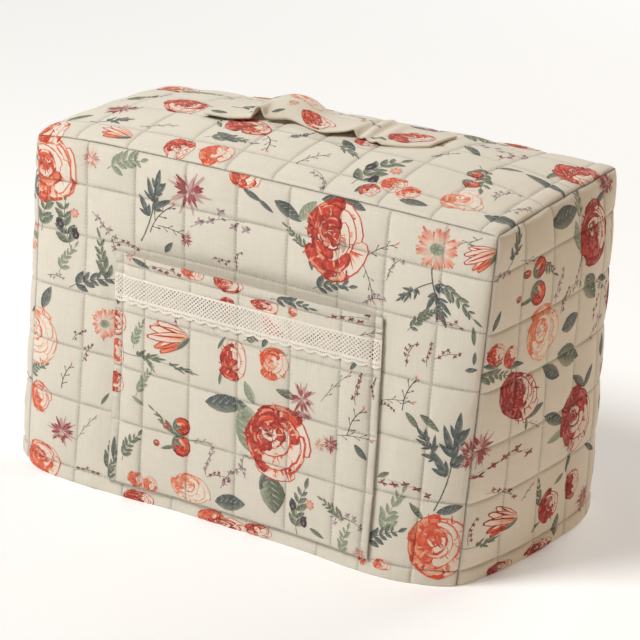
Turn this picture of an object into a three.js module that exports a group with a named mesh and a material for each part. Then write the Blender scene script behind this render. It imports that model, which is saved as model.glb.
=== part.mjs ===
// Quilted fabric cover for a sewing machine.
// A soft padded box of cotton print, open below, that drops over the machine and
// stands on its hem. Millimetres, +Z up, the front looks along -Y, x runs to the right.
import * as THREE from 'three';

// Where two pieces are sewn together, each keeps back half of this gap.
const SEAM_GAP = 0.44;
// Padded cloth between its two faces at a stitch, and at the turned hem.
const CLOTH = 2.2;
const HEM_CLOTH = 3.2;
// Radius of the rolled edge beside a box seam.
const EDGE_RADIUS = 8;
// Height of a quilted cell above its stitches, and how much that varies from cell to cell.
const PUFF = 2.2;
const PUFF_SPREAD = 0.15;
// Where in a cell, from stitch to stitch, its relief is modelled.
const CELL_STEPS = [0, 0.16, 0.5, 0.84];
// First step beside a box seam, where the rolled edge turns fastest.
const EDGE_STEP = 3;
// Moves the box so that its outermost edges are centred on the origin.
const CENTRE_SHIFT = { x: 3.2, y: 2.8 };

// The four upright box seams. The cover is a little lower at its left end, as it hangs.
// bend is 1 for a straight seam; a higher one leans sideways only near its head.
const POST = {
  frontLeft: { foot: { x: -215, y: -104 }, head: { x: -221, y: -97, z: 290 }, bend: 4 },
  frontRight: { foot: { x: 200, y: -105 }, head: { x: 206, y: -99, z: 299 }, bend: 1 },
  backRight: { foot: { x: 214, y: 114 }, head: { x: 216, y: 101, z: 305 }, bend: 2 },
  backLeft: { foot: { x: -214, y: 112 }, head: { x: -215, y: 98, z: 287 }, bend: 1 },
};

// The crown of the top panel over its seams.
const TOP_CROWN = 12.5;

// How far each top seam rises over the straight line between its two box seams.
const TOP_SEAM_LIFT = {
  front: [
    { along: 0, up: 0 },
    { along: 0.03, up: 1.8 },
    { along: 0.06, up: 3.1 },
    { along: 0.12, up: 4.4 },
    { along: 0.25, up: 5 },
    { along: 0.5, up: 4.8 },
    { along: 0.75, up: 3 },
    { along: 1, up: 0 },
  ],
  end_right: [
    { along: 0, up: 0 },
    { along: 0.5, up: 1 },
    { along: 1, up: 0 },
  ],
  back: [
    { along: 0, up: 0 },
    { along: 0.25, up: 2.1 },
    { along: 0.5, up: 3 },
    { along: 0.75, up: 2.8 },
    { along: 1, up: 0 },
  ],
  end_left: [
    { along: 0, up: 0 },
    { along: 0.25, up: 3 },
    { along: 0.6, up: 4 },
    { along: 0.85, up: 3.6 },
    { along: 0.93, up: 2.4 },
    { along: 1, up: 0 },
  ],
};

// How far each side stands out at the hem from the line between its two box seams.
// along is the share of the panel's width, from its left as seen from outside.
const HEM_BULGE = {
  front: [
    { along: 0, out: 0 },
    { along: 0.03, out: 8 },
    { along: 0.07, out: 14 },
    { along: 0.14, out: 17.3 },
    { along: 0.25, out: 17 },
    { along: 0.39, out: 14 },
    { along: 0.53, out: 15 },
    { along: 0.67, out: 16.5 },
    { along: 0.82, out: 22 },
    { along: 0.9, out: 19.5 },
    { along: 0.94, out: 14 },
    { along: 0.97, out: 8 },
    { along: 1, out: 0 },
  ],
  end_right: [
    { along: 0, out: 0 },
    { along: 0.12, out: 7 },
    { along: 0.28, out: 13.5 },
    { along: 0.48, out: 17 },
    { along: 0.7, out: 18 },
    { along: 0.85, out: 15 },
    { along: 0.94, out: 8.5 },
    { along: 0.98, out: 4 },
    { along: 1, out: 0 },
  ],
  back: [
    { along: 0, out: 0 },
    { along: 0.05, out: 6 },
    { along: 0.25, out: 10 },
    { along: 0.5, out: 11 },
    { along: 0.75, out: 10 },
    { along: 0.95, out: 6 },
    { along: 1, out: 0 },
  ],
  end_left: [
    { along: 0, out: 0 },
    { along: 0.06, out: 10 },
    { along: 0.2, out: 17 },
    { along: 0.6, out: 20 },
    { along: 0.8, out: 19 },
    { along: 0.9, out: 15 },
    { along: 0.95, out: 10 },
    { along: 1, out: 0 },
  ],
};

// How that bulge fades upwards. height is the share of the panel's height from the hem.
const FULLNESS = {
  front: [
    { height: 0, share: 1 },
    { height: 0.25, share: 0.8 },
    { height: 0.5, share: 0.55 },
    { height: 0.75, share: 0.28 },
    { height: 1, share: 0 },
  ],
  end_right: [
    { height: 0, share: 1 },
    { height: 0.3, share: 0.85 },
    { height: 0.6, share: 0.65 },
    { height: 0.88, share: 0.4 },
    { height: 1, share: 0 },
  ],
  end_left: [
    { height: 0, share: 1 },
    { height: 0.3, share: 0.92 },
    { height: 0.6, share: 0.8 },
    { height: 0.88, share: 0.6 },
    { height: 1, share: 0 },
  ],
};

// The front leans: its middle stands further to the right at the hem than at the top.
const FRONT_LEAN = [
  { height: 0, shift: 13.5 },
  { height: 0.22, shift: 13 },
  { height: 0.39, shift: 11 },
  { height: 0.56, shift: 8 },
  { height: 0.73, shift: 4.5 },
  { height: 0.88, shift: 1 },
  { height: 1, shift: 0 },
];
const NO_LEAN = [{ height: 0, shift: 0 }, { height: 1, shift: 0 }];

// Stitch lines, measured on the flat panel: columns from its left edge, rows above the hem.
const QUILTING = {
  front: {
    width: 434,
    height: 297,
    columns: [51, 99, 148, 198, 247, 296, 339, 390],
    rows: [13, 72, 119, 168, 217, 260],
  },
  back: {
    width: 434,
    height: 297,
    columns: [44, 93, 142, 191, 241, 291, 341, 390],
    rows: [13, 72, 119, 168, 217, 260],
  },
  end: {
    width: 205,
    height: 297,
    columns: [40, 86, 132, 175],
    rows: [13, 71, 117, 166, 215, 264],
  },
  top: {
    width: 425,
    height: 196,
    columns: [37, 86, 132, 180, 223, 269, 319, 366, 410],
    rows: [26, 74, 122, 170],
  },
};

// The patch pocket on the front: its edges, welts and stitches in the front panel's sizes.
const POCKET = {
  foot: { left: 85, right: 349, up: 13 },
  mouth: { left: 82, right: 342, up: 212 },
  welt: 8,
  crown: 8.6,
  seat: 0.5,
  cloth: 2,
};
// Its stitch columns, from its left edge, and its rows from the hem up with their relief.
const POCKET_COLUMNS = [32, 79, 128, 179, 227];
const POCKET_ROWS = [
  { from: 13, to: 68, puff: 2.2 },
  { from: 68, to: 115, puff: 2.2 },
  { from: 115, to: 163, puff: 2.2 },
  { from: 163, to: 203, puff: 0.8 },
  { from: 203, to: 212, puff: 1.6 },
];
// The front panel's quilting is pressed flat under the pocket and this far around it.
const PRESSED_MARGIN = 10;

// Cotton lace sewn along the pocket's mouth.
const LACE = {
  top: 194,
  bottom: 170,
  scallop: 12,
  scallopDepth: 2.4,
  stepsPerScallop: 4,
  seat: 1.25,
  cloth: 1,
};

// The carrying band, bunched up on the top panel. x runs along it; front and back are the
// y of its edges; the lifts are the heights of its front edge, middle and back edge above
// the quilting that it lies on.
const BAND_CLOTH = 1.8;
const BAND_SEAT = 2.9;
const BAND_FOLDS = [
  { x: -104, front: -27, back: 22, liftFront: 0, liftMiddle: 0, liftBack: 0 },
  { x: -92, front: -27, back: 23, liftFront: 0, liftMiddle: 0, liftBack: 0 },
  { x: -80, front: -26.5, back: 24, liftFront: 0, liftMiddle: 1, liftBack: 1 },
  { x: -72, front: -24, back: 25, liftFront: 0.5, liftMiddle: 2.5, liftBack: 3.5 },
  { x: -66, front: -21.5, back: 25, liftFront: 1.5, liftMiddle: 5, liftBack: 6.5 },
  { x: -61, front: -20, back: 26, liftFront: 8, liftMiddle: 8, liftBack: 9 },
  { x: -57, front: -19, back: 26, liftFront: 12, liftMiddle: 10.5, liftBack: 10.5 },
  { x: -50, front: -15.5, back: 27, liftFront: 12.5, liftMiddle: 12, liftBack: 12 },
  { x: -46, front: -12, back: 27, liftFront: 6, liftMiddle: 13, liftBack: 12.8 },
  { x: -43, front: -8, back: 28, liftFront: 1.5, liftMiddle: 13.5, liftBack: 13.4 },
  { x: -38, front: -4, back: 28, liftFront: 2, liftMiddle: 13.5, liftBack: 13.4 },
  { x: -33, front: -3, back: 29, liftFront: 2.5, liftMiddle: 12.5, liftBack: 12.3 },
  { x: -27, front: -4.5, back: 29, liftFront: 1.5, liftMiddle: 10, liftBack: 10 },
  { x: -20, front: -8, back: 29, liftFront: 0.5, liftMiddle: 6, liftBack: 6 },
  { x: -13, front: -11, back: 30, liftFront: 0, liftMiddle: 3, liftBack: 2 },
  { x: -5, front: -14.5, back: 30, liftFront: 0, liftMiddle: 1.5, liftBack: 0.5 },
  { x: 4, front: -16.5, back: 30, liftFront: 0.5, liftMiddle: 1.5, liftBack: 0 },
  { x: 13, front: -15, back: 31, liftFront: 2, liftMiddle: 2.5, liftBack: 0.5 },
  { x: 20, front: -14, back: 31, liftFront: 3.5, liftMiddle: 4, liftBack: 1 },
  { x: 26, front: -13.5, back: 31, liftFront: 5.5, liftMiddle: 5.5, liftBack: 2.5 },
  { x: 30.5, front: -13.5, back: 32, liftFront: 6.5, liftMiddle: 6.5, liftBack: 3.5 },
  { x: 34, front: -12.5, back: 33, liftFront: 0.5, liftMiddle: 7, liftBack: 4.5 },
  { x: 40, front: -13, back: 35, liftFront: 0, liftMiddle: 5, liftBack: 6.5 },
  { x: 48, front: -14, back: 38, liftFront: 0, liftMiddle: 2, liftBack: 4 },
  { x: 57, front: -13.5, back: 42, liftFront: 0, liftMiddle: 0.5, liftBack: 2 },
  { x: 68, front: -10.5, back: 47, liftFront: 0, liftMiddle: 0, liftBack: 1 },
  { x: 80, front: -5, back: 53, liftFront: 0, liftMiddle: 0, liftBack: 0.5 },
  { x: 91, front: 5.5, back: 56, liftFront: 0, liftMiddle: 0, liftBack: 0 },
];
const BAND_STEPS_ACROSS = 7;
const BAND_STEPS_PER_FOLD = 1;

// Plain directions in which the five panels look.
const OUTWARD = {
  front: new THREE.Vector3(0, -1, 0),
  end_right: new THREE.Vector3(1, 0, 0),
  back: new THREE.Vector3(0, 1, 0),
  end_left: new THREE.Vector3(-1, 0, 0),
  top: new THREE.Vector3(0, 0, 1),
};

const mix = THREE.MathUtils.lerp;

// Smooth curve through the rows of a table, read at one value of its first column.
function readCurve(rows, key, value, at) {
  const last = rows.length - 1;
  let i = 0;
  while (i < last - 1 && at > rows[i + 1][key]) i += 1;
  const slope = (k) => {
    const before = rows[Math.max(k - 1, 0)];
    const after = rows[Math.min(k + 1, last)];
    return (after[value] - before[value]) / (after[key] - before[key]);
  };
  const span = rows[i + 1][key] - rows[i][key];
  const f = THREE.MathUtils.clamp((at - rows[i][key]) / span, 0, 1);
  const f2 = f * f;
  const f3 = f2 * f;
  return (2 * f3 - 3 * f2 + 1) * rows[i][value]
    + (f3 - 2 * f2 + f) * span * slope(i)
    + (3 * f2 - 2 * f3) * rows[i + 1][value]
    + (f3 - f2) * span * slope(i + 1);
}

// Share of the rolled edge's rise at a distance from the seam: an eighth of a circle.
function rolledEdge(distance) {
  const reach = EDGE_RADIUS * Math.SQRT1_2;
  const left = Math.max(0, reach - distance);
  const rise = Math.sqrt(EDGE_RADIUS ** 2 - left ** 2) - reach;
  return rise / (EDGE_RADIUS - reach);
}
const ROLL_RISE = EDGE_RADIUS * (1 - Math.SQRT1_2);

// A box seam at a share of its height.
function seamAt({ foot, head, bend }, t) {
  return { x: mix(foot.x, head.x, t ** bend), y: mix(foot.y, head.y, t) };
}

// A side of the box, from its left to its right as seen from outside and from hem to top seam.
function sideSurface({ name, left, right, fullness, quilting, lean }) {
  return (along, t) => {
    const leaning = readCurve(lean, 'height', 'shift', t) * (1 - (2 * along - 1) ** 6);
    const s = along + leaning / quilting.width;
    const leftSeam = seamAt(left, t);
    const rightSeam = seamAt(right, t);
    const headZ = mix(left.head.z, right.head.z, s)
      + readCurve(TOP_SEAM_LIFT[name], 'along', 'up', s);
    const point = new THREE.Vector3(
      mix(leftSeam.x, rightSeam.x, s),
      mix(leftSeam.y, rightSeam.y, s),
      headZ * t,
    );
    const roll = rolledEdge(Math.min(along, 1 - along) * quilting.width)
      * rolledEdge((1 - t) * quilting.height);
    const out = readCurve(HEM_BULGE[name], 'along', 'out', s)
      * readCurve(fullness, 'height', 'share', t);
    return point.addScaledVector(OUTWARD[name], out + roll * ROLL_RISE);
  };
}

const frontSurface = sideSurface({
  name: 'front',
  left: POST.frontLeft,
  right: POST.frontRight,
  fullness: FULLNESS.front,
  quilting: QUILTING.front,
  lean: FRONT_LEAN,
});
const endRightSurface = sideSurface({
  name: 'end_right',
  left: POST.frontRight,
  right: POST.backRight,
  fullness: FULLNESS.end_right,
  quilting: QUILTING.end,
  lean: NO_LEAN,
});
const backSurface = sideSurface({
  name: 'back',
  left: POST.backRight,
  right: POST.backLeft,
  fullness: FULLNESS.front,
  quilting: QUILTING.back,
  lean: NO_LEAN,
});
const endLeftSurface = sideSurface({
  name: 'end_left',
  left: POST.backLeft,
  right: POST.frontLeft,
  fullness: FULLNESS.end_left,
  quilting: QUILTING.end,
  lean: NO_LEAN,
});

// The top panel spans the four top seams and is crowned: s runs to the right, t to the back.
function topSurface(s, t) {
  const front = frontSurface(s, 1);
  const back = backSurface(1 - s, 1);
  const left = endLeftSurface(1 - t, 1);
  const right = endRightSurface(t, 1);
  const corner = (post) => new THREE.Vector3(post.head.x, post.head.y, post.head.z);
  const point = front.multiplyScalar(1 - t).addScaledVector(back, t)
    .addScaledVector(left, 1 - s).addScaledVector(right, s)
    .addScaledVector(corner(POST.frontLeft), -(1 - s) * (1 - t))
    .addScaledVector(corner(POST.frontRight), -s * (1 - t))
    .addScaledVector(corner(POST.backLeft), -(1 - s) * t)
    .addScaledVector(corner(POST.backRight), -s * t);
  const { width, height } = QUILTING.top;
  const roll = rolledEdge(Math.min(s, 1 - s) * width) * rolledEdge(Math.min(t, 1 - t) * height);
  const crown = Math.sin(Math.PI * t) * (1 - Math.abs(2 * s - 1) ** 4);
  point.z += crown * TOP_CROWN + roll * ROLL_RISE;
  return point;
}

// Direction square to a surface at one of its points.
function squareTo(surface, s, t) {
  const step = 2e-3;
  const acrossS = surface(Math.min(s + step, 1), t).sub(surface(Math.max(s - step, 0), t));
  const acrossT = surface(s, Math.min(t + step, 1)).sub(surface(s, Math.max(t - step, 0)));
  return acrossS.cross(acrossT).normalize();
}

// Relief of one cell, from 0 at the stitches to 1 in the middle.
const swell = (f) => Math.sqrt(Math.sin(Math.PI * f));

// Slightly different fullness for each cell, the same on every run.
function cellShare(column, row) {
  const wave = Math.sin(column * 12.9898 + row * 78.233) * 43758.5453;
  return 1 + PUFF_SPREAD * (2 * (wave - Math.floor(wave)) - 1);
}

// Height of the relief at a place given in the same sizes as the stitch lines.
function relief(columns, rows, across, up) {
  const find = (lines, at) => {
    let i = 0;
    while (i < lines.length - 2 && at > lines[i + 1]) i += 1;
    return { index: i, share: THREE.MathUtils.clamp((at - lines[i]) / (lines[i + 1] - lines[i]), 0, 1) };
  };
  const column = find(columns, across);
  const row = find(rows, up);
  return swell(column.share) * swell(row.share) * cellShare(column.index, row.index);
}

// Steps from stitch to stitch, with one more step beside each end.
function stepsBetween(lines) {
  const steps = [];
  for (let i = 0; i < lines.length - 1; i += 1) {
    for (const share of CELL_STEPS) steps.push(mix(lines[i], lines[i + 1], share));
  }
  const end = lines[lines.length - 1];
  steps.push(end);
  return steps;
}
function withEdgeSteps(steps) {
  const end = steps[steps.length - 1];
  return [...steps, steps[0] + EDGE_STEP, end - EDGE_STEP].sort((a, b) => a - b);
}

// One closed sheet: an outer and an inner grid whose rims are sewn up.
// A grid gives its steps along and up, from 0 to 1, and the point at each of them.
function thickSheet(outer, inner) {
  const vertices = [];
  const triangles = [];
  const addGrid = ({ along, up, point }) => {
    const first = vertices.length / 3;
    for (const t of up) {
      for (const s of along) vertices.push(...point(s, t).toArray());
    }
    return (i, j) => first + j * along.length + i;
  };
  const addFaces = ({ along, up }, at, facingOut) => {
    for (let j = 0; j < up.length - 1; j += 1) {
      for (let i = 0; i < along.length - 1; i += 1) {
        const corners = [at(i, j), at(i + 1, j), at(i + 1, j + 1), at(i, j + 1)];
        if (!facingOut) corners.reverse();
        triangles.push(corners[0], corners[1], corners[2], corners[0], corners[2], corners[3]);
      }
    }
  };
  // Joins one side of the outer rim, in its own direction, to the same side of the inner rim.
  const sewSide = (outerSide, innerSide) => {
    let i = 0;
    let j = 0;
    while (i < outerSide.length - 1 || j < innerSide.length - 1) {
      const nextOuter = i < outerSide.length - 1 ? outerSide[i + 1].at : Infinity;
      const nextInner = j < innerSide.length - 1 ? innerSide[j + 1].at : Infinity;
      if (nextOuter <= nextInner) {
        triangles.push(outerSide[i + 1].id, outerSide[i].id, innerSide[j].id);
        i += 1;
      } else {
        triangles.push(innerSide[j].id, innerSide[j + 1].id, outerSide[i].id);
        j += 1;
      }
    }
  };
  const sides = ({ along, up }, at) => {
    const lastS = along.length - 1;
    const lastT = up.length - 1;
    return [
      along.map((s, i) => ({ at: s, id: at(i, 0) })),
      up.map((t, j) => ({ at: t, id: at(lastS, j) })),
      along.map((s, i) => ({ at: 1 - s, id: at(i, lastT) })).reverse(),
      up.map((t, j) => ({ at: 1 - t, id: at(0, j) })).reverse(),
    ];
  };
  const atOuter = addGrid(outer);
  const atInner = addGrid(inner);
  addFaces(outer, atOuter, true);
  addFaces(inner, atInner, false);
  const innerSides = sides(inner, atInner);
  sides(outer, atOuter).forEach((side, k) => sewSide(side, innerSides[k]));

  const geometry = new THREE.BufferGeometry();
  geometry.setAttribute('position', new THREE.Float32BufferAttribute(vertices, 3));
  geometry.setIndex(triangles);
  geometry.computeVertexNormals();
  return geometry;
}

// Where the plain inner face of a panel is modelled, the same on both sides of each seam.
const INNER_STEPS = {
  width: [0, 0.018, 0.07, 0.12, 0.24, 0.37, 0.5, 0.63, 0.76, 0.88, 0.93, 0.982, 1],
  height: [0, 0.05, 0.25, 0.5, 0.75, 0.9, 0.975, 1],
  depth: [0, 0.04, 0.1, 0.25, 0.5, 0.75, 0.9, 0.96, 1],
};

// A panel of the box. neighbours names the panel sewn to each of its edges, or null at the hem.
function boxPanel({ name, surface, quilting, neighbours, innerAlong, innerUp, puffShare }) {
  const { width, height } = quilting;
  const keepBack = { s: SEAM_GAP / 2 / width, t: SEAM_GAP / 2 / height };
  const insideSeams = (s, t) => ({
    s: THREE.MathUtils.clamp(s, keepBack.s, 1 - keepBack.s),
    t: THREE.MathUtils.clamp(t, neighbours.bottom ? keepBack.t : 0, 1 - keepBack.t),
  });
  const columns = [0, ...quilting.columns, width];
  const rows = [0, ...quilting.rows, height];
  const outer = {
    along: withEdgeSteps(stepsBetween(columns)).map((mm) => mm / width),
    up: withEdgeSteps(stepsBetween(rows)).map((mm) => mm / height),
    point: (s, t) => {
      const place = insideSeams(s, t);
      const puff = PUFF * relief(columns, rows, s * width, t * height) * puffShare(s * width, t * height);
      return surface(place.s, place.t).addScaledVector(squareTo(surface, place.s, place.t), puff);
    },
  };
  // At a seam the thickness runs half way between the two panels, so their edges are mitred.
  const inward = (s, t) => {
    const edges = [];
    if (s === 0) edges.push(neighbours.left);
    if (s === 1) edges.push(neighbours.right);
    if (t === 0 && neighbours.bottom) edges.push(neighbours.bottom);
    if (t === 1) edges.push(neighbours.top);
    if (edges.length === 0 && t > 0) return squareTo(surface, s, t).negate();
    const direction = OUTWARD[name].clone();
    for (const edge of edges) direction.add(OUTWARD[edge]);
    return direction.normalize().negate();
  };
  const inner = {
    along: innerAlong,
    up: innerUp,
    point: (s, t) => {
      const place = insideSeams(s, t);
      const cloth = t === 0 && !neighbours.bottom ? HEM_CLOTH : CLOTH;
      return surface(place.s, place.t).addScaledVector(inward(s, t), cloth);
    },
  };
  return thickSheet(outer, inner);
}

const plainPuff = () => 1;
function pressedUnderPocket(across, up) {
  const { foot, mouth } = POCKET;
  const covered = across > mouth.left - PRESSED_MARGIN && across < foot.right + PRESSED_MARGIN
    && up < mouth.up + PRESSED_MARGIN;
  return covered ? 0 : 1;
}

// A place on the front panel, given in its flat sizes, raised square to the cloth.
function onFront(across, up, raised) {
  const s = across / QUILTING.front.width;
  const t = up / QUILTING.front.height;
  return frontSurface(s, t).addScaledVector(squareTo(frontSurface, s, t), raised);
}

// The pocket in its own sizes: s from its left edge to its right, t from its foot to its mouth.
const POCKET_WIDTH = POCKET.foot.right - POCKET.foot.left;
const POCKET_HEIGHT = POCKET.mouth.up - POCKET.foot.up;
const WELT_SHARE = POCKET.welt / POCKET_WIDTH;

// Height of its inner face above the front panel: low at its sewn edges, open at its mouth.
function pocketStand(s, t) {
  const inside = THREE.MathUtils.clamp((s - WELT_SHARE) / (1 - 2 * WELT_SHARE), 0, 1);
  const across = Math.sqrt(Math.sin(Math.PI * inside));
  const upward = Math.sin(0.5 * Math.PI * THREE.MathUtils.clamp(t, 0, 1)) ** 0.7;
  return POCKET.seat + POCKET.crown * across * upward;
}
function onPocket(s, t, raised) {
  const left = mix(POCKET.foot.left, POCKET.mouth.left, t);
  const right = mix(POCKET.foot.right, POCKET.mouth.right, t);
  const up = mix(POCKET.foot.up, POCKET.mouth.up, t);
  return onFront(mix(left, right, s), up, pocketStand(s, t) + raised);
}

function pocketGeometry() {
  const columns = [0, POCKET.welt, ...POCKET_COLUMNS, POCKET_WIDTH - POCKET.welt, POCKET_WIDTH];
  const rows = [...POCKET_ROWS.map((row) => row.from), POCKET.mouth.up].map((up) => up - POCKET.foot.up);
  const rowPuff = (up) => POCKET_ROWS.find((row) => up + POCKET.foot.up <= row.to + 1e-6).puff;
  const outer = {
    along: stepsBetween(columns).map((mm) => mm / POCKET_WIDTH),
    up: stepsBetween(rows).map((mm) => mm / POCKET_HEIGHT),
    point: (s, t) => {
      const up = t * POCKET_HEIGHT;
      const puff = rowPuff(up) * relief(columns, rows, s * POCKET_WIDTH, up);
      return onPocket(s, t, POCKET.cloth + puff);
    },
  };
  const inner = {
    along: [0, 0.03, 0.07, 0.13, 0.22, 0.36, 0.5, 0.64, 0.78, 0.87, 0.93, 0.97, 1],
    up: [0, 0.05, 0.15, 0.32, 0.55, 0.78, 1],
    point: (s, t) => onPocket(s, t, 0),
  };
  return thickSheet(outer, inner);
}

// The lace follows the pocket's face, wraps on to its welts and has a scalloped lower edge.
function laceGeometry() {
  const count = Math.round(POCKET_WIDTH / LACE.scallop);
  const steps = count * LACE.stepsPerScallop;
  const along = Array.from({ length: steps + 1 }, (_, i) => i / steps);
  const up = [0, 0.4, 1];
  const face = (raised) => (s, t) => {
    const edge = LACE.bottom + LACE.scallopDepth * (1 - Math.abs(Math.sin(Math.PI * count * s)));
    const height = (mix(edge, LACE.top, t) - POCKET.foot.up) / POCKET_HEIGHT;
    return onPocket(s, height, POCKET.cloth + LACE.seat + raised);
  };
  return thickSheet({ along, up, point: face(LACE.cloth) }, { along, up, point: face(0) });
}

// The band is one folded strip. Its height is read along its length and bent across it.
function bandGeometry() {
  const steps = [];
  for (let i = 0; i < BAND_FOLDS.length - 1; i += 1) {
    for (let k = 0; k < BAND_STEPS_PER_FOLD; k += 1) {
      steps.push(mix(BAND_FOLDS[i].x, BAND_FOLDS[i + 1].x, k / BAND_STEPS_PER_FOLD));
    }
  }
  const start = BAND_FOLDS[0].x;
  const end = BAND_FOLDS[BAND_FOLDS.length - 1].x;
  steps.push(end);
  const along = steps.map((x) => (x - start) / (end - start));
  const up = Array.from({ length: BAND_STEPS_ACROSS + 1 }, (_, j) => j / BAND_STEPS_ACROSS);
  const middle = (s, t) => {
    const x = mix(start, end, s);
    const read = (column) => readCurve(BAND_FOLDS, 'x', column, x);
    const y = mix(read('front'), read('back'), t);
    const ends = mix(read('liftFront'), read('liftBack'), t);
    const bow = 4 * t * (1 - t) * (read('liftMiddle') - (read('liftFront') + read('liftBack')) / 2);
    const below = onTop(x, y);
    return new THREE.Vector3(x, y, below + BAND_SEAT + BAND_CLOTH / 2 + Math.max(0, ends + bow));
  };
  const face = (half) => (s, t) => middle(s, t).addScaledVector(squareTo(middle, s, t), half);
  return thickSheet(
    { along, up, point: face(BAND_CLOTH / 2) },
    { along, up, point: face(-BAND_CLOTH / 2) },
  );
}

// Height of the top panel, without its quilting, under a place on the plan.
function onTop(x, y) {
  const s = (x - POST.frontLeft.head.x) / (POST.frontRight.head.x - POST.frontLeft.head.x);
  const t = (y - POST.frontLeft.head.y) / (POST.backLeft.head.y - POST.frontLeft.head.y);
  return topSurface(s, t).z;
}

const CLOTH_COLOUR = 0xe9dfcc;
const LACE_COLOUR = 0xf0e6d4;
const clothMaterial = () => new THREE.MeshStandardMaterial({ color: CLOTH_COLOUR, roughness: 0.9, metalness: 0 });
const laceMaterial = () => new THREE.MeshStandardMaterial({ color: LACE_COLOUR, roughness: 0.95, metalness: 0 });

const cover = new THREE.Group();
function addPiece(name, geometry, material) {
  const mesh = new THREE.Mesh(geometry, material);
  mesh.name = name;
  mesh.position.set(CENTRE_SHIFT.x, CENTRE_SHIFT.y, 0);
  cover.add(mesh);
}

const sidePanels = [
  { name: 'front', surface: frontSurface, left: 'end_left', right: 'end_right', puffShare: pressedUnderPocket },
  { name: 'end_right', surface: endRightSurface, left: 'front', right: 'back', puffShare: plainPuff },
  { name: 'back', surface: backSurface, left: 'end_right', right: 'end_left', puffShare: plainPuff },
  { name: 'end_left', surface: endLeftSurface, left: 'back', right: 'front', puffShare: plainPuff },
];
for (const { name, surface, left, right, puffShare } of sidePanels) {
  const isEnd = name.startsWith('end');
  addPiece(`panel_${name}`, boxPanel({
    name,
    surface,
    quilting: isEnd ? QUILTING.end : QUILTING[name],
    neighbours: { left, right, top: 'top', bottom: null },
    innerAlong: isEnd ? INNER_STEPS.depth : INNER_STEPS.width,
    innerUp: INNER_STEPS.height,
    puffShare,
  }), clothMaterial());
}
addPiece('panel_top', boxPanel({
  name: 'top',
  surface: topSurface,
  quilting: QUILTING.top,
  neighbours: { left: 'end_left', right: 'end_right', top: 'back', bottom: 'front' },
  innerAlong: INNER_STEPS.width,
  innerUp: INNER_STEPS.depth,
  puffShare: plainPuff,
}), clothMaterial());
addPiece('pocket', pocketGeometry(), clothMaterial());
addPiece('lace_trim', laceGeometry(), laceMaterial());
addPiece('handle_band', bandGeometry(), clothMaterial());

export default cover;
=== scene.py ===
# %% [markdown]
# # A quilted cover for a sewing machine
# The cover is a soft box of printed cotton over thin wadding, open below. Its five
# panels are quilted in a 5 cm grid, sewn together along eight seams, and stand on a
# narrow hem. A patch pocket with a lace edge is sewn on the front, and a carrying band
# lies bunched up on the top. This file dresses the measured frame piece by piece. All
# sizes are in millimetres until a mesh is made.

# %% The measured frame
import math
import random
from functools import partial

import bmesh
import bpy
import numpy as np
from mathutils import Matrix, Vector, noise


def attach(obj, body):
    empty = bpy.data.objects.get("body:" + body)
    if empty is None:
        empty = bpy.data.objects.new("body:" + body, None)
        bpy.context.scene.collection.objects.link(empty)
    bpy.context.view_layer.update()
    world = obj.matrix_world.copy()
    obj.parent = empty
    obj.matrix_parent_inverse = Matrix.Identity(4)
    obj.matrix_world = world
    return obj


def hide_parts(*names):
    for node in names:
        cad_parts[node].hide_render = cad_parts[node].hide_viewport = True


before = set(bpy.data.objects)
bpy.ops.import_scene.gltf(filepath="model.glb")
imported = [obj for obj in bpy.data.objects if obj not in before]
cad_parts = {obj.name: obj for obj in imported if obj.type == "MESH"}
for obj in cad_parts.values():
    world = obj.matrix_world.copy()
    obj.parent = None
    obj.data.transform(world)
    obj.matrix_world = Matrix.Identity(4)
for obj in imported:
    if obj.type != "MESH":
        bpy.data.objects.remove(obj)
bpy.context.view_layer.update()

MM = 0.001

# %% [markdown]
# ## Sizes
# The same tables shape the solids and this dressed cover, so each piece lands where its
# solid is. Only the seams are closer here, because this cloth has no flat facets. A box
# seam has a foot on the floor and a head at the top. The tables say how far a side
# stands out at the hem, how that bulge fades upwards, and how far the top seams rise
# over the straight line between their ends. They were fitted to the outline.

# %% Seams, bulges and stitch lines
SEAM_GAP = 0.16
CLOTH = 2.2
EDGE_RADIUS = 8.0
PUFF = 2.2
PUFF_SPREAD = 0.15
CENTRE_SHIFT = np.array([3.2, 2.8, 0.0])
TOP_CROWN = 12.5

POST = {
    "front_left": {"foot": (-215, -104), "head": (-221, -97, 290), "bend": 4},
    "front_right": {"foot": (200, -105), "head": (206, -99, 299), "bend": 1},
    "back_right": {"foot": (214, 114), "head": (216, 101, 305), "bend": 2},
    "back_left": {"foot": (-214, 112), "head": (-215, 98, 287), "bend": 1},
}
SIDES = {
    "front": {"left": "front_left", "right": "front_right", "look": (0, -1, 0)},
    "end_right": {"left": "front_right", "right": "back_right", "look": (1, 0, 0)},
    "back": {"left": "back_right", "right": "back_left", "look": (0, 1, 0)},
    "end_left": {"left": "back_left", "right": "front_left", "look": (-1, 0, 0)},
}
TOP_SEAM_LIFT = {
    "front": {"along": [0, 0.03, 0.06, 0.12, 0.25, 0.5, 0.75, 1], "up": [0, 1.8, 3.1, 4.4, 5, 4.8, 3, 0]},
    "end_right": {"along": [0, 0.5, 1], "up": [0, 1, 0]},
    "back": {"along": [0, 0.25, 0.5, 0.75, 1], "up": [0, 2.1, 3, 2.8, 0]},
    "end_left": {"along": [0, 0.25, 0.6, 0.85, 0.93, 1], "up": [0, 3, 4, 3.6, 2.4, 0]},
}
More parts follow.
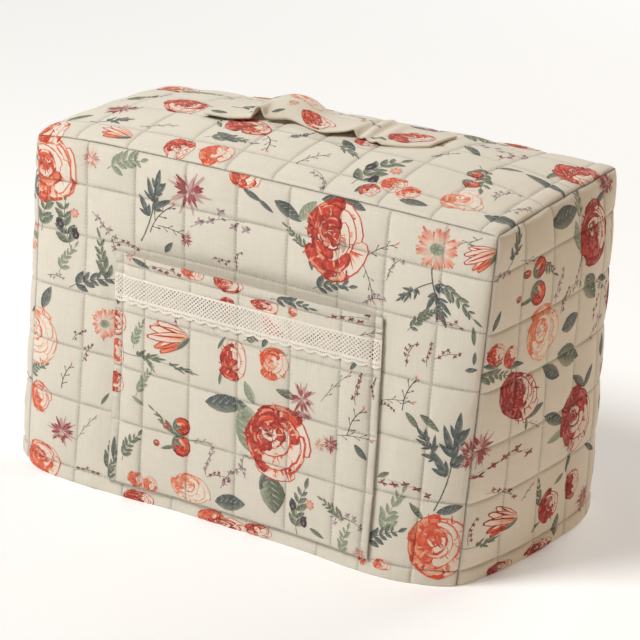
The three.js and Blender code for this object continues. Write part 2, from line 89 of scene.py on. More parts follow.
HEM_BULGE = {
    "front": {
        "along": [0, 0.03, 0.07, 0.14, 0.25, 0.39, 0.53, 0.67, 0.82, 0.9, 0.94, 0.97, 1],
        "out": [0, 8, 14, 17.3, 17, 14, 15, 16.5, 22, 19.5, 14, 8, 0],
    },
    "end_right": {
        "along": [0, 0.12, 0.28, 0.48, 0.7, 0.85, 0.94, 0.98, 1],
        "out": [0, 7, 13.5, 17, 18, 15, 8.5, 4, 0],
    },
    "back": {"along": [0, 0.05, 0.25, 0.5, 0.75, 0.95, 1], "out": [0, 6, 10, 11, 10, 6, 0]},
    "end_left": {
        "along": [0, 0.06, 0.2, 0.6, 0.8, 0.9, 0.95, 1],
        "out": [0, 10, 17, 20, 19, 15, 10, 0],
    },
}
FULLNESS = {
    "front": {"height": [0, 0.25, 0.5, 0.75, 1], "share": [1, 0.8, 0.55, 0.28, 0]},
    "end_right": {"height": [0, 0.3, 0.6, 0.88, 1], "share": [1, 0.85, 0.65, 0.4, 0]},
    "end_left": {"height": [0, 0.3, 0.6, 0.88, 1], "share": [1, 0.92, 0.8, 0.6, 0]},
}
FULLNESS["back"] = FULLNESS["front"]
NO_LEAN = {"height": [0, 1], "shift": [0, 0]}
LEAN = {
    "front": {"height": [0, 0.22, 0.39, 0.56, 0.73, 0.88, 1], "shift": [13.5, 13, 11, 8, 4.5, 1, 0]},
    "end_right": NO_LEAN,
    "back": NO_LEAN,
    "end_left": NO_LEAN,
}
END_QUILTING = {
    "width": 205, "height": 297,
    "columns": [40, 86, 132, 175], "rows": [13, 71, 117, 166, 215, 264],
}
QUILTING = {
    "front": {
        "width": 434, "height": 297,
        "columns": [51, 99, 148, 198, 247, 296, 339, 390], "rows": [13, 72, 119, 168, 217, 260],
    },
    "end_right": END_QUILTING,
    "back": {
        "width": 434, "height": 297,
        "columns": [44, 93, 142, 191, 241, 291, 341, 390], "rows": [13, 72, 119, 168, 217, 260],
    },
    "end_left": END_QUILTING,
    "top": {
        "width": 425, "height": 196,
        "columns": [37, 86, 132, 180, 223, 269, 319, 366, 410], "rows": [26, 74, 122, 170],
    },
}
print("panels", ", ".join(QUILTING))

# %% [markdown]
# ## Curved panels
# A panel could be a flat sheet that a cloth simulation drapes, but then its seams would
# wander off the measured outline. Here each side is spanned between two box seams and
# pushed out by its tables, and the top is spanned between the four top seams (a Coons
# patch), so neighbours share one seam line exactly and no gap opens.

# %% Reading a table as a smooth curve
def read_curve(at, knots, values):
    x, y = np.asarray(knots, float), np.asarray(values, float)
    order = np.arange(len(x))
    before, after = np.maximum(order - 1, 0), np.minimum(order + 1, len(x) - 1)
    slope = (y[after] - y[before]) / (x[after] - x[before])
    i = np.searchsorted(x[1:-1], at)
    span = x[i + 1] - x[i]
    f = np.clip((at - x[i]) / span, 0, 1)
    return ((2 * f**3 - 3 * f**2 + 1) * y[i] + (f**3 - 2 * f**2 + f) * span * slope[i]
            + (3 * f**2 - 2 * f**3) * y[i + 1] + (f**3 - f**2) * span * slope[i + 1])


def mix(a, b, f):
    return a + (b - a) * f


ROLL_RISE = EDGE_RADIUS * (1 - math.sqrt(0.5))


def rolled_edge(distance):
    reach = EDGE_RADIUS * math.sqrt(0.5)
    left = np.maximum(0, reach - distance)
    return (np.sqrt(EDGE_RADIUS**2 - left**2) - reach) / (EDGE_RADIUS - reach)


# %% The surface of a side, from seam to seam and from hem to top
def seam_at(post, t):
    (foot_x, foot_y), (head_x, head_y, _) = post["foot"], post["head"]
    return mix(foot_x, head_x, t ** post["bend"]), mix(foot_y, head_y, t)


def side_surface(name):
    side, quilting = SIDES[name], QUILTING[name]
    left, right = POST[side["left"]], POST[side["right"]]
    look = np.array(side["look"], float)

    def surface(along, t):
        along, t = np.broadcast_arrays(np.asarray(along, float), np.asarray(t, float))
        shift = read_curve(t, LEAN[name]["height"], LEAN[name]["shift"])
        s = along + shift * (1 - (2 * along - 1) ** 6) / quilting["width"]
        (left_x, left_y), (right_x, right_y) = seam_at(left, t), seam_at(right, t)
        lift = read_curve(s, TOP_SEAM_LIFT[name]["along"], TOP_SEAM_LIFT[name]["up"])
        head_z = mix(left["head"][2], right["head"][2], s) + lift
        point = np.stack([mix(left_x, right_x, s), mix(left_y, right_y, s), head_z * t], -1)
        roll = (rolled_edge(np.minimum(along, 1 - along) * quilting["width"])
                * rolled_edge((1 - t) * quilting["height"]))
        out = (read_curve(s, HEM_BULGE[name]["along"], HEM_BULGE[name]["out"])
               * read_curve(t, FULLNESS[name]["height"], FULLNESS[name]["share"]))
        return point + (out + roll * ROLL_RISE)[..., None] * look

    return surface


SURFACE = {name: side_surface(name) for name in SIDES}


# %% The surface of the top, spanned between its four seams
def top_surface(s, t):
    s, t = np.broadcast_arrays(np.asarray(s, float), np.asarray(t, float))
    one = np.ones_like(s)
    head = {name: np.array(post["head"], float) for name, post in POST.items()}
    s3, t3 = s[..., None], t[..., None]
    point = (SURFACE["front"](s, one) * (1 - t3) + SURFACE["back"](1 - s, one) * t3
             + SURFACE["end_left"](1 - t, one) * (1 - s3) + SURFACE["end_right"](t, one) * s3
             - head["front_left"] * (1 - s3) * (1 - t3) - head["front_right"] * s3 * (1 - t3)
             - head["back_left"] * (1 - s3) * t3 - head["back_right"] * s3 * t3)
    width, height = QUILTING["top"]["width"], QUILTING["top"]["height"]
    roll = (rolled_edge(np.minimum(s, 1 - s) * width)
            * rolled_edge(np.minimum(t, 1 - t) * height))
    crown = np.sin(np.pi * t) * (1 - np.abs(2 * s - 1) ** 4)
    point[..., 2] += crown * TOP_CROWN + roll * ROLL_RISE
    return point


SURFACE["top"] = top_surface


def square_to(surface, s, t):
    step = 2e-3
    across = surface(np.minimum(s + step, 1), t) - surface(np.maximum(s - step, 0), t)
    upward = surface(s, np.minimum(t + step, 1)) - surface(s, np.maximum(t - step, 0))
    normal = np.cross(across, upward)
    return normal / np.linalg.norm(normal, axis=-1, keepdims=True)


print("front middle", SURFACE["front"](0.5, 0.5).round(1), "top middle", top_surface(0.5, 0.5).round(1))

# %% [markdown]
# ## Quilting
# Between two stitch lines the wadding swells the cloth, steeply beside the thread and
# almost flat in the middle of a cell. Displacing a dense grid with a texture would blur
# the stitch lines, so the grid itself has its lines on the stitches and close beside
# them, and few in the middle of a cell, where little happens.

# %% Relief of the quilted cells
CELL_OFFSETS = [1.1, 3, 6.5]
CELL_STEP = 7.0
GROOVE = {"deep": 0.55, "wide": 0.9}
SWAY_GAIN = 1.6


def stitch_lines(name):
    quilting = QUILTING[name]
    return [0, *quilting["columns"], quilting["width"]], [0, *quilting["rows"], quilting["height"]]


def grid_lines(stitches):
    lines = [stitches[0]]
    for low, high in zip(stitches[:-1], stitches[1:]):
        near = [o for o in CELL_OFFSETS if o < 0.3 * (high - low)]
        margin = near[-1] if near else 0
        inner_low, inner_high = low + margin, high - margin
        count = max(1, round((inner_high - inner_low) / CELL_STEP))
        middle = [mix(inner_low, inner_high, k / count) for k in range(count + 1)]
        if near:
            lines += [low + o for o in near[:-1]] + middle + [high - o for o in near[-2::-1]]
        else:
            lines += middle[1:-1]
        lines.append(high)
    return np.array(lines)


def cell_share(column, row):
    """A fixed but scattered share of the puff for each cell, so that neighbours differ."""
    wave = np.sin(column * 12.9898 + row * 78.233) * 43758.5453
    return 1 + PUFF_SPREAD * (2 * (wave - np.floor(wave)) - 1)


def relief(columns, rows, across, up):
    def find(lines, at):
        lines = np.asarray(lines, float)
        i = np.searchsorted(lines[1:-1], at)
        return i, np.clip((at - lines[i]) / (lines[i + 1] - lines[i]), 0, 1)

    (column, f), (row, g) = find(columns, across), find(rows, up)
    swell = np.sqrt(np.sin(np.pi * f).clip(0)) * np.sqrt(np.sin(np.pi * g).clip(0))
    return swell * cell_share(column, row)


def nearest(lines, at):
    return np.min(np.abs(np.asarray(at)[..., None] - np.asarray(lines, float)), -1)


def groove_depth(columns, rows, across, up):
    """How deep the thread sinks the cloth. The outer lines are edges and have no thread."""
    gaps = nearest(columns[1:-1], across), nearest(rows[1:-1], up)
    return GROOVE["deep"] * sum(np.exp(-(gap / GROOVE["wide"]) ** 2) for gap in gaps)


def wander(points, size, seed):
    """Slow unevenness of handled cloth, about -1 to 1, at points in millimetres."""
    flat = points.reshape(-1, 3)
    values = [noise.noise(Vector(p / size) + Vector((seed, 0, 0))) for p in flat]
    return np.array(values).reshape(points.shape[:-1]) * SWAY_GAIN


print("front grid lines", [len(grid_lines(lines)) for lines in stitch_lines("front")])

# %% [markdown]
# ## From a grid to cloth
# Each piece starts as Blender's own grid. Its vertices are moved to the curved cloth,
# and its UV map keeps the flat cloth's sizes, so weave and print are as large on a bulge
# as on the flat. The piece's thickness is a Solidify modifier that grows inwards.

# %% Making one sheet of cloth
# Where each sheet's flat places lie on the cloth: the print and the stitches are laid by it.
CLOTH_GRIDS = {}


def grid_normals(spots):
    normal = np.cross(np.gradient(spots, axis=1), np.gradient(spots, axis=0))
    return normal / np.linalg.norm(normal, axis=-1, keepdims=True)


def add_piece(name, data):
    piece = bpy.data.objects.new(name, data)
    bpy.context.scene.collection.objects.link(piece)
    return piece


def cloth_sheet(name, along, up, point, flat_along, flat_up, thickness, materials, masks=None):
    bm = bmesh.new()
    bmesh.ops.create_grid(bm, x_segments=len(along) - 1, y_segments=len(up) - 1, size=0.5)
    bm.verts.ensure_lookup_table()
    place = np.array([(v.co.x + 0.5, v.co.y + 0.5) for v in bm.verts])
    i = np.rint(place[:, 0] * (len(along) - 1)).astype(int)
    j = np.rint(place[:, 1] * (len(up) - 1)).astype(int)
    grid = point(*np.meshgrid(along, up)) + CENTRE_SHIFT
    CLOTH_GRIDS[name] = {"across": np.asarray(flat_along, float), "up": np.asarray(flat_up, float),
                         "spots": grid, "normals": grid_normals(grid), "masks": masks}
    spots = grid[j, i]
    cloth = bm.loops.layers.uv.new("cloth")
    near = {key: bm.verts.layers.float.new(key) for key in (masks or {})}
    for vert, spot in zip(bm.verts, spots):
        vert.co = Vector(spot * MM)
    for key, layer in near.items():
        values = masks[key](np.asarray(flat_along)[i], np.asarray(flat_up)[j])
        for vert, value in zip(bm.verts, values):
            vert[layer] = float(value)
    for face in bm.faces:
        face.smooth = True
        for loop in face.loops:
            k = loop.vert.index
            loop[cloth].uv = (flat_along[i[k]] * MM, flat_up[j[k]] * MM)
    bmesh.ops.triangulate(bm, faces=bm.faces[:], quad_method="FIXED")
    mesh = bpy.data.meshes.new(name)
    bm.to_mesh(mesh)
    bm.free()
    piece = add_piece(name, mesh)
    for material in materials:
        mesh.materials.append(material)
    solid = piece.modifiers.new("wadding", "SOLIDIFY")
    solid.thickness = thickness * MM
    solid.offset = -1
    solid.use_even_offset = False
    solid.use_rim = True
    solid.material_offset = 1 if len(materials) > 1 else 0
    solid.material_offset_rim = 0
    print(name, len(mesh.polygons), "triangles before its thickness")
    return piece


# %% [markdown]
# ## Cloth finishes
# The print sits on a plain-weave cotton: thin crossing threads, a few thicker slubs and
# no gloss. A photographed texture would repeat and blur, so one node group makes the
# weave from the UV map at thread size, and every cotton of the cover uses it.

# %% Node helpers
def new_group(name, inputs, outputs):
    group = bpy.data.node_groups.new(name, "ShaderNodeTree")
    for label, kind, value in inputs:
        socket = group.interface.new_socket(label, in_out="INPUT", socket_type=kind)
        if value is not None:
            socket.default_value = value
    for label, kind in outputs:
        group.interface.new_socket(label, in_out="OUTPUT", socket_type=kind)
    return group, group.nodes.new("NodeGroupInput"), group.nodes.new("NodeGroupOutput")


def link_into(tree, socket, value):
    if isinstance(value, bpy.types.NodeSocket):
        tree.links.new(value, socket)
    else:
        socket.default_value = value


def math_node(tree, operation, *values, clamp=False):
    node = tree.nodes.new("ShaderNodeMath")
    node.operation, node.use_clamp = operation, clamp
    for socket, value in zip(node.inputs, values):
        link_into(tree, socket, value)
    return node.outputs[0]


def noise_node(tree, vector, factors, detail, roughness=0.5):
    stretch = tree.nodes.new("ShaderNodeVectorMath")
    stretch.operation = "MULTIPLY"
    link_into(tree, stretch.inputs[0], vector)
    stretch.inputs[1].default_value = factors
    node = tree.nodes.new("ShaderNodeTexNoise")
    link_into(tree, node.inputs["Vector"], stretch.outputs[0])
    node.inputs["Scale"].default_value = 1.0
    node.inputs["Detail"].default_value = detail
    node.inputs["Roughness"].default_value = roughness
    return node.outputs["Fac"]


def colour_mix(tree, fac, a, b):
    node = tree.nodes.new("ShaderNodeMix")
    node.data_type = "RGBA"
    link_into(tree, node.inputs["Factor"], fac)
    link_into(tree, node.inputs["A"], a)
    link_into(tree, node.inputs["B"], b)
    return node.outputs["Result"]


def linear(hex_code):
    channels = [int(hex_code[k:k + 2], 16) / 255 for k in (0, 2, 4)]
    return tuple(c / 12.92 if c <= 0.04045 else ((c + 0.055) / 1.055) ** 2.4 for c in channels) + (1.0,)


# %% Plain weave: crossing threads that pass over and under
THREAD_UNDER = 0.4
SLUBS = {"height": 0.6, "tone": 0.12}
# Painted shade: the cloth is darkened in the low gaps between the threads, where they pass under each other.
PAINTED_GAP_SHADE = 0.10


def make_weave_group():
    group, start, end = new_group(
        "plain_weave",
        [("Cloth", "NodeSocketVector", None), ("Pitch", "NodeSocketFloat", 0.0006)],
        [("Height", "NodeSocketFloat"), ("Shade", "NodeSocketFloat")],
    )
    calc = partial(math_node, group)
    cloth = start.outputs["Cloth"]
    split = group.nodes.new("ShaderNodeSeparateXYZ")
    group.links.new(cloth, split.inputs[0])
    threads = []
    for axis in ("X", "Y"):
        turns = calc("DIVIDE", split.outputs[axis], start.outputs["Pitch"])
        ridge = calc("ABSOLUTE", calc("SINE", calc("MULTIPLY", turns, math.pi)))
        threads.append((calc("FLOOR", turns), ridge))
    (column, warp), (row, weft) = threads
    odd = calc("MODULO", calc("ABSOLUTE", calc("ADD", column, row)), 2.0)
    heights = []
    for ridge, on_top in ((warp, odd), (weft, calc("SUBTRACT", 1.0, odd))):
        stand = calc("ADD", calc("MULTIPLY", on_top, 1 - THREAD_UNDER), THREAD_UNDER)
        heights.append(calc("MULTIPLY", ridge, stand))
    height = calc("MAXIMUM", *heights)
    slubs = calc("ADD", *(noise_node(group, cloth, way, 2) for way in ((40, 900, 1), (900, 40, 1))))
    group.links.new(calc("ADD", height, calc("MULTIPLY", slubs, SLUBS["height"])), end.inputs["Height"])
    # Painted shade where a thread passes under; the slubs only vary the tone at random.
    dark = calc("MULTIPLY", calc("SUBTRACT", 1.0, height), PAINTED_GAP_SHADE)
    uneven = calc("MULTIPLY", calc("SUBTRACT", slubs, 1.0), SLUBS["tone"])
    group.links.new(calc("ADD", calc("SUBTRACT", 1.0, dark), uneven), end.inputs["Shade"])
    return group


WEAVE = make_weave_group()


# %% Puckers and painted shade: the small ripples that machine stitching draws up on both sides of its line, and the shade painted along it
# Painted shade: the cloth is darkened over a few millimetres on both sides of each stitch line.
PAINTED_GROOVE_SHADE = 0.14
# Painted shadow: a thin dark line right on each stitch line.
PAINTED_LINE_SHADOW = {"from": 0.8, "steep": 5.0, "dark": 0.3}


def make_pucker_group():
    group, start, end = new_group(
        "stitch_puckers_and_shade",
        [("Cloth", "NodeSocketVector", None), ("Row", "NodeSocketFloat", 0.0),
         ("Column", "NodeSocketFloat", 0.0)],
        [("Height", "NodeSocketFloat"), ("Shade", "NodeSocketFloat")],
    )
    calc = partial(math_node, group)
    cloth, row, column = (start.outputs[key] for key in ("Cloth", "Row", "Column"))
    ripples = []
    for near, way in ((row, (230, 22, 1)), (column, (22, 230, 1))):
        ripples.append(calc("MULTIPLY", calc("SUBTRACT", noise_node(group, cloth, way, 1), 0.5), near))
    group.links.new(calc("ADD", *ripples), end.inputs["Height"])
    both = calc("MAXIMUM", row, column)
    # Painted shade that deepens towards the stitch line.
    sunk = calc("SUBTRACT", 1.0, calc("MULTIPLY", calc("POWER", both, 3.0), PAINTED_GROOVE_SHADE))
    at_line = calc("MULTIPLY", calc("SUBTRACT", both, PAINTED_LINE_SHADOW["from"]), PAINTED_LINE_SHADOW["steep"], clamp=True)
    # Painted shadow in the thin groove right at the line.
    painted_line_shadow = calc("SUBTRACT", 1.0, calc("MULTIPLY", at_line, PAINTED_LINE_SHADOW["dark"]))
    group.links.new(calc("MULTIPLY", sunk, painted_line_shadow), end.inputs["Shade"])
    return group


PUCKERS = make_pucker_group()


# %% A cotton material: its colour may come from the printed ink
GROUND = "E4DCCC"
WEAR = 0.9
CLOUDS = {"low": 0.965, "swing": 0.07}


def cotton(name, base, ink=None, pitch=0.0006, relief_mm=0.05, pucker_mm=0.0, roughness=0.88):
    material = bpy.data.materials.new(name)
    material.use_nodes = True
    tree = material.node_tree
    calc = partial(math_node, tree)
    shader = tree.nodes["Principled BSDF"]
    flat = tree.nodes.new("ShaderNodeUVMap")
    flat.uv_map = "cloth"
    cloth = flat.outputs[0]

    def group_node(group):
        node = tree.nodes.new("ShaderNodeGroup")
        node.node_tree = group
        tree.links.new(cloth, node.inputs["Cloth"])
        return node

    def attribute(key, output):
        node = tree.nodes.new("ShaderNodeAttribute")
        node.attribute_name = key
        return node.outputs[output]

    weave = group_node(WEAVE)
    weave.inputs["Pitch"].default_value = pitch
    colour = linear(base)
    if ink:
        worn = noise_node(tree, cloth, (260, 260, 1), 3, 0.6)
        washed = calc("MULTIPLY", calc("SUBTRACT", worn, 0.5), WEAR, clamp=True)
        colour = colour_mix(tree, washed, attribute(ink, "Color"), linear(base))
    clouds = noise_node(tree, cloth, (22, 22, 1), 2)
    tone = calc("ADD", CLOUDS["low"], calc("MULTIPLY", clouds, CLOUDS["swing"]))
    # The weave's shade is painted shade between the threads, together with the random tone of its slubs.
    shade = calc("MULTIPLY", tone, weave.outputs["Shade"])
    height = calc("MULTIPLY", weave.outputs["Height"], relief_mm)
    if pucker_mm:
        pucker = group_node(PUCKERS)
        for label, key in (("Row", "near_row"), ("Column", "near_column")):
            tree.links.new(attribute(key, "Fac"), pucker.inputs[label])
        # Painted shade and shadow along the stitch lines darken the colour.
        shade = calc("MULTIPLY", shade, pucker.outputs["Shade"])
        height = calc("ADD", height, calc("MULTIPLY", pucker.outputs["Height"], pucker_mm))
    shaded = tree.nodes.new("ShaderNodeVectorMath")
    shaded.operation = "SCALE"
    link_into(tree, shaded.inputs[0], colour if ink else colour[:3])
    tree.links.new(shade, shaded.inputs["Scale"])
    tree.links.new(shaded.outputs[0], shader.inputs["Base Color"])
    bump = tree.nodes.new("ShaderNodeBump")
    bump.inputs["Distance"].default_value = MM
    tree.links.new(height, bump.inputs["Height"])
    tree.links.new(bump.outputs[0], shader.inputs["Normal"])
    shader.inputs["Roughness"].default_value = roughness
    shader.inputs["Specular IOR Level"].default_value = 0.25
    shader.inputs["Sheen Weight"].default_value = 0.12
    shader.inputs["Sheen Roughness"].default_value = 0.6
    return material


printed_cotton = cotton("printed_cotton", GROUND, relief_mm=0.06, pucker_mm=1.1)
lining_cotton = cotton("lining_cotton", "DDD3C0", pitch=0.0008)
band_cotton = cotton("band_cotton", "E3DAC8", relief_mm=0.06)
print("finishes", printed_cotton.name, lining_cotton.name, band_cotton.name)

# %% [markdown]
# ## The five quilted panels
# A maker cuts five rectangles, quilts each one and sews them into a box with the print
# outside. Each panel here is one sheet with its lining as the second material. It keeps
# back half of the seam gap, so the seam reads as a fine dark line between two rolled
# edges, and slow unevenness that fades to nothing at the seams keeps it from looking
# machined.

# %% Building the panels
PRESSED_MARGIN = 10
POCKET = {
    "foot": {"left": 85, "right": 349, "up": 13},
    "mouth": {"left": 82, "right": 342, "up": 212},
    "welt": 8, "crown": 8.6, "seat": 0.5, "cloth": 2.0,
}
SWAY = {
    "panel": {"most": 0.9, "size": 70, "fade": 30, "hem_fade": 25},
    "pocket": {"most": 0.5, "size": 60, "fade": 30, "seed": 71},
}
PUCKER_REACH = 4.5


def under_pocket(across, up):
    foot, mouth = POCKET["foot"], POCKET["mouth"]
    return ((across > mouth["left"] - PRESSED_MARGIN) & (across < foot["right"] + PRESSED_MARGIN)
            & (up < mouth["up"] + PRESSED_MARGIN))


def panel_point(name, seed):
    surface, sway = SURFACE[name], SWAY["panel"]
    columns, rows = stitch_lines(name)
    width, height = columns[-1], rows[-1]
    keep_s, keep_t = SEAM_GAP / 2 / width, SEAM_GAP / 2 / height
    open_below = name != "top"

    def point(s, t):
        inside_s = np.clip(s, keep_s, 1 - keep_s)
        inside_t = np.clip(t, 0 if open_below else keep_t, 1 - keep_t)
        across, up = s * width, t * height
        puff = PUFF * relief(columns, rows, across, up)
        edge = np.minimum(np.minimum(across, width - across), height - up)
        if open_below:
            loose = np.clip(edge / sway["fade"], 0, 1) * np.clip(up / sway["hem_fade"], 0, 1)
        else:
            loose = np.clip(np.minimum(edge, up) / sway["fade"], 0, 1)
        if name == "front":
            pressed = under_pocket(across, up)
            puff, loose = np.where(pressed, 0, puff), np.where(pressed, 0, loose)
        base = surface(inside_s, inside_t)
        swayed = sway["most"] * loose * wander(base, sway["size"], seed)
        raised = puff - groove_depth(columns, rows, across, up) + swayed
        return base + raised[..., None] * square_to(surface, inside_s, inside_t)

    return point


def pucker_masks(columns, rows):
    return {
        "near_row": lambda a, u: np.exp(-nearest(rows, u) / PUCKER_REACH),
        "near_column": lambda a, u: np.exp(-nearest(columns, a) / PUCKER_REACH),
    }


PANELS = {}
for seed, name in enumerate(QUILTING):
    columns, rows = stitch_lines(name)
    across, up = grid_lines(columns), grid_lines(rows)
    panel = cloth_sheet(
        f"quilt_{name}", across / columns[-1], up / rows[-1], panel_point(name, 10 * seed),
        across, up, CLOTH, [printed_cotton, lining_cotton], pucker_masks(columns, rows[1:]),
    )
    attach(panel, "root")
    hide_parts(f"panel_{name}")
    PANELS[name] = panel

# %% [markdown]
# ## The patch pocket
# The pocket is one quilted patch. Its two upright edges are folded into flat welts, sewn
# down on the front, and its mouth is a rolled edge that stands a little open. A copy of
# the front moved outwards would not narrow upwards or stand open, so the patch has a grid
# of its own, laid on the front and lifted more and more towards its mouth.

# %% Building the pocket
POCKET_WIDTH = POCKET["foot"]["right"] - POCKET["foot"]["left"]
POCKET_HEIGHT = POCKET["mouth"]["up"] - POCKET["foot"]["up"]
POCKET_COLUMNS = [32, 79, 128, 179, 227]
POCKET_ROWS = {"from": [13, 68, 115, 163, 203], "puff": [2.2, 2.2, 2.2, 0.8, 1.6]}


def pocket_stand(s, t):
    welt = POCKET["welt"] / POCKET_WIDTH
    inside = np.clip((s - welt) / (1 - 2 * welt), 0, 1)
    across = np.sqrt(np.sin(np.pi * inside).clip(0))
    upward = np.sin(0.5 * np.pi * np.clip(t, 0, 1)) ** 0.7
    return POCKET["seat"] + POCKET["crown"] * across * upward


def on_pocket(s, t, raised):
    foot, mouth, front = POCKET["foot"], POCKET["mouth"], QUILTING["front"]
    across = mix(mix(foot["left"], mouth["left"], t), mix(foot["right"], mouth["right"], t), s)
    up = mix(foot["up"], mouth["up"], t)
    on_s, on_t = across / front["width"], up / front["height"]
    base, normal = SURFACE["front"](on_s, on_t), square_to(SURFACE["front"], on_s, on_t)
    return base + (pocket_stand(s, t) + raised)[..., None] * normal


pocket_stitches = [0, POCKET["welt"], *POCKET_COLUMNS, POCKET_WIDTH - POCKET["welt"], POCKET_WIDTH]
pocket_rows = [up - POCKET["foot"]["up"] for up in [*POCKET_ROWS["from"], POCKET["mouth"]["up"]]]


def pocket_point(s, t):
    across, up, sway = s * POCKET_WIDTH, t * POCKET_HEIGHT, SWAY["pocket"]
    row = np.searchsorted(np.array(pocket_rows[1:-1]) + 1e-6, up)
    puff = np.array(POCKET_ROWS["puff"])[row] * relief(pocket_stitches, pocket_rows, across, up)
    sunk = groove_depth(pocket_stitches, pocket_rows, across, up)
    base = on_pocket(s, t, POCKET["cloth"] + puff - sunk)
    edge = np.minimum(across, POCKET_WIDTH - across)
    loose = np.clip(edge / sway["fade"], 0, 1) * np.clip(up / sway["fade"], 0, 1)
    swayed = sway["most"] * loose * wander(base, sway["size"], sway["seed"])
    return base + swayed[..., None] * np.array([0, -1, 0])


across, up = grid_lines(pocket_stitches), grid_lines(pocket_rows)
pocket = cloth_sheet(
    "pocket_patch", across / POCKET_WIDTH, up / POCKET_HEIGHT, pocket_point,
    across, up, POCKET["cloth"] - 0.1, [printed_cotton, lining_cotton],
    pucker_masks(pocket_stitches, pocket_rows),
)
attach(pocket, "root")
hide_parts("pocket")

# %% [markdown]
# ## The carrying band
# The band is a plain strip of the same cotton, sewn on at its ends and bunched up as the
# cover stands. Its folds were read off fold by fold: where each crosses the top, and how
# high its front edge, middle and back edge stand. A simulation would fold it another way.

# %% Building the band
BAND = {"cloth": 1.8, "seat": 2.9, "long": 215, "wide": 50, "rows": 23, "step": 2}
BAND_FOLDS = {
    "x": [-104, -92, -80, -72, -66, -62, -59.5, -55, -52, -47, -38, -33, -27, -20, -13, -5, 4, 13,
          20, 26, 30.5, 34, 37, 41, 44, 48, 52, 57, 68, 80, 91],
    "front": [-27, -27, -26.5, -25, -23, -21, -20, -18, -17, -15, -11, -9.5, -9, -10, -12, -14.5,
              -16.5, -15, -14, -13.5, -13.5, -12.5, -12.5, -13, -13.5, -14, -14, -13.5, -10.5, -5, 5.5],
    "back": [22, 23, 24, 25, 25, 26, 26, 27, 27, 28, 28, 29, 29, 29, 30, 30, 30, 31, 31, 31, 32,
             33, 34, 35, 36.5, 38, 40, 42, 47, 53, 56],
    "lift_front": [0, 0, 0, 0.5, 1, 2, 10, 11, 3, 1.5, 2, 2.5, 1.5, 0.5, 0, 0, 0.5, 2, 3.5,
                   5.5, 7, 0.5, 0.3, 2.4, 0.3, 0.2, 1.6, 0, 0, 0, 0],
    "lift_middle": [0, 0, 1, 2.5, 5, 7.5, 10, 11.5, 12.5, 13.3, 13.5, 12.5, 10, 6, 3, 1.5, 1.5, 2.5,
                    4, 5.5, 7.5, 8, 5, 5.8, 2.5, 1.5, 2.8, 0.5, 0, 0, 0],
    "lift_back": [0, 0, 1, 3.5, 6.5, 8.5, 10, 11.5, 12.3, 13.2, 13.4, 12.3, 10, 6, 2, 0.5, 0, 0.5,
                  1, 2.5, 3.5, 4.5, 5.5, 6.5, 5, 4, 4, 2, 1, 0.5, 0],
}


def top_height(x, y):
    left, right = POST["front_left"]["head"], POST["front_right"]["head"]
    s = (x - left[0]) / (right[0] - left[0])
    t = (y - left[1]) / (POST["back_left"]["head"][1] - left[1])
    return top_surface(s, t)[..., 2]


def band_middle(s, t):
    start, end = BAND_FOLDS["x"][0], BAND_FOLDS["x"][-1]
    x = mix(start, end, s)
    read = {key: read_curve(x, BAND_FOLDS["x"], BAND_FOLDS[key]) for key in BAND_FOLDS if key != "x"}
    y = mix(read["front"], read["back"], t)
    ends = mix(read["lift_front"], read["lift_back"], t)
    bow = 4 * t * (1 - t) * (read["lift_middle"] - (read["lift_front"] + read["lift_back"]) / 2)
    z = top_height(x, y) + BAND["seat"] + BAND["cloth"] / 2 + np.maximum(0, ends + bow)
    return np.stack([x, y, z], -1)


def band_point(s, t):
    return band_middle(s, t) + square_to(band_middle, s, t) * BAND["cloth"] / 2


start, end = BAND_FOLDS["x"][0], BAND_FOLDS["x"][-1]
stops = [start]
for low, high in zip(BAND_FOLDS["x"][:-1], BAND_FOLDS["x"][1:]):
    count = max(2, round((high - low) / BAND["step"]))
    stops += [mix(low, high, k / count) for k in range(1, count + 1)]
band_along = (np.array(stops) - start) / (end - start)
band_up = np.linspace(0, 1, BAND["rows"])
band = cloth_sheet(
    "carrying_band", band_along, band_up, band_point,
    band_along * BAND["long"], band_up * BAND["wide"], BAND["cloth"], [band_cotton, band_cotton],
)
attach(band, "root")
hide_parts("handle_band")

# %% [markdown]
# ## The lace
# Cotton lace is sewn along the pocket's mouth: a narrow tape, a net of diamond holes and
# a scalloped edge with a row of upright holes. A see-through picture could stand for it,
# but its holes would have no thickness. So the lace is laid out flat, each hole is a face
# that is inset by half a thread and cut out, and the net is then moved to the pocket.

# %% Building the lace
LACE = {
    "top": 181, "net_top": 180, "net_bottom": 162.8, "bottom": 157, "scallop": 12, "depth": 2.4,
    "pitch": 4.0, "rows": 5, "thread": 0.61, "cloth": 0.5, "seat": 0.3, "pressed": 0.8,
}
EDGE_STEPS = {"hem": (0.0, 0.3), "hole": (0.3, 0.8), "heading": (0.8, 1.0)}
lace_cotton = cotton("lace_cotton", "F9F0E3", pitch=0.0009, relief_mm=0.12)


def lace_spot(across, up):
    s, t = np.clip(across / POCKET_WIDTH, 0, 1), up / POCKET_HEIGHT
    below = LACE["pressed"] * relief(pocket_stitches, pocket_rows, across, up)
    return on_pocket(s, t, POCKET["cloth"] + below + LACE["seat"] + LACE["cloth"]) + CENTRE_SHIFT


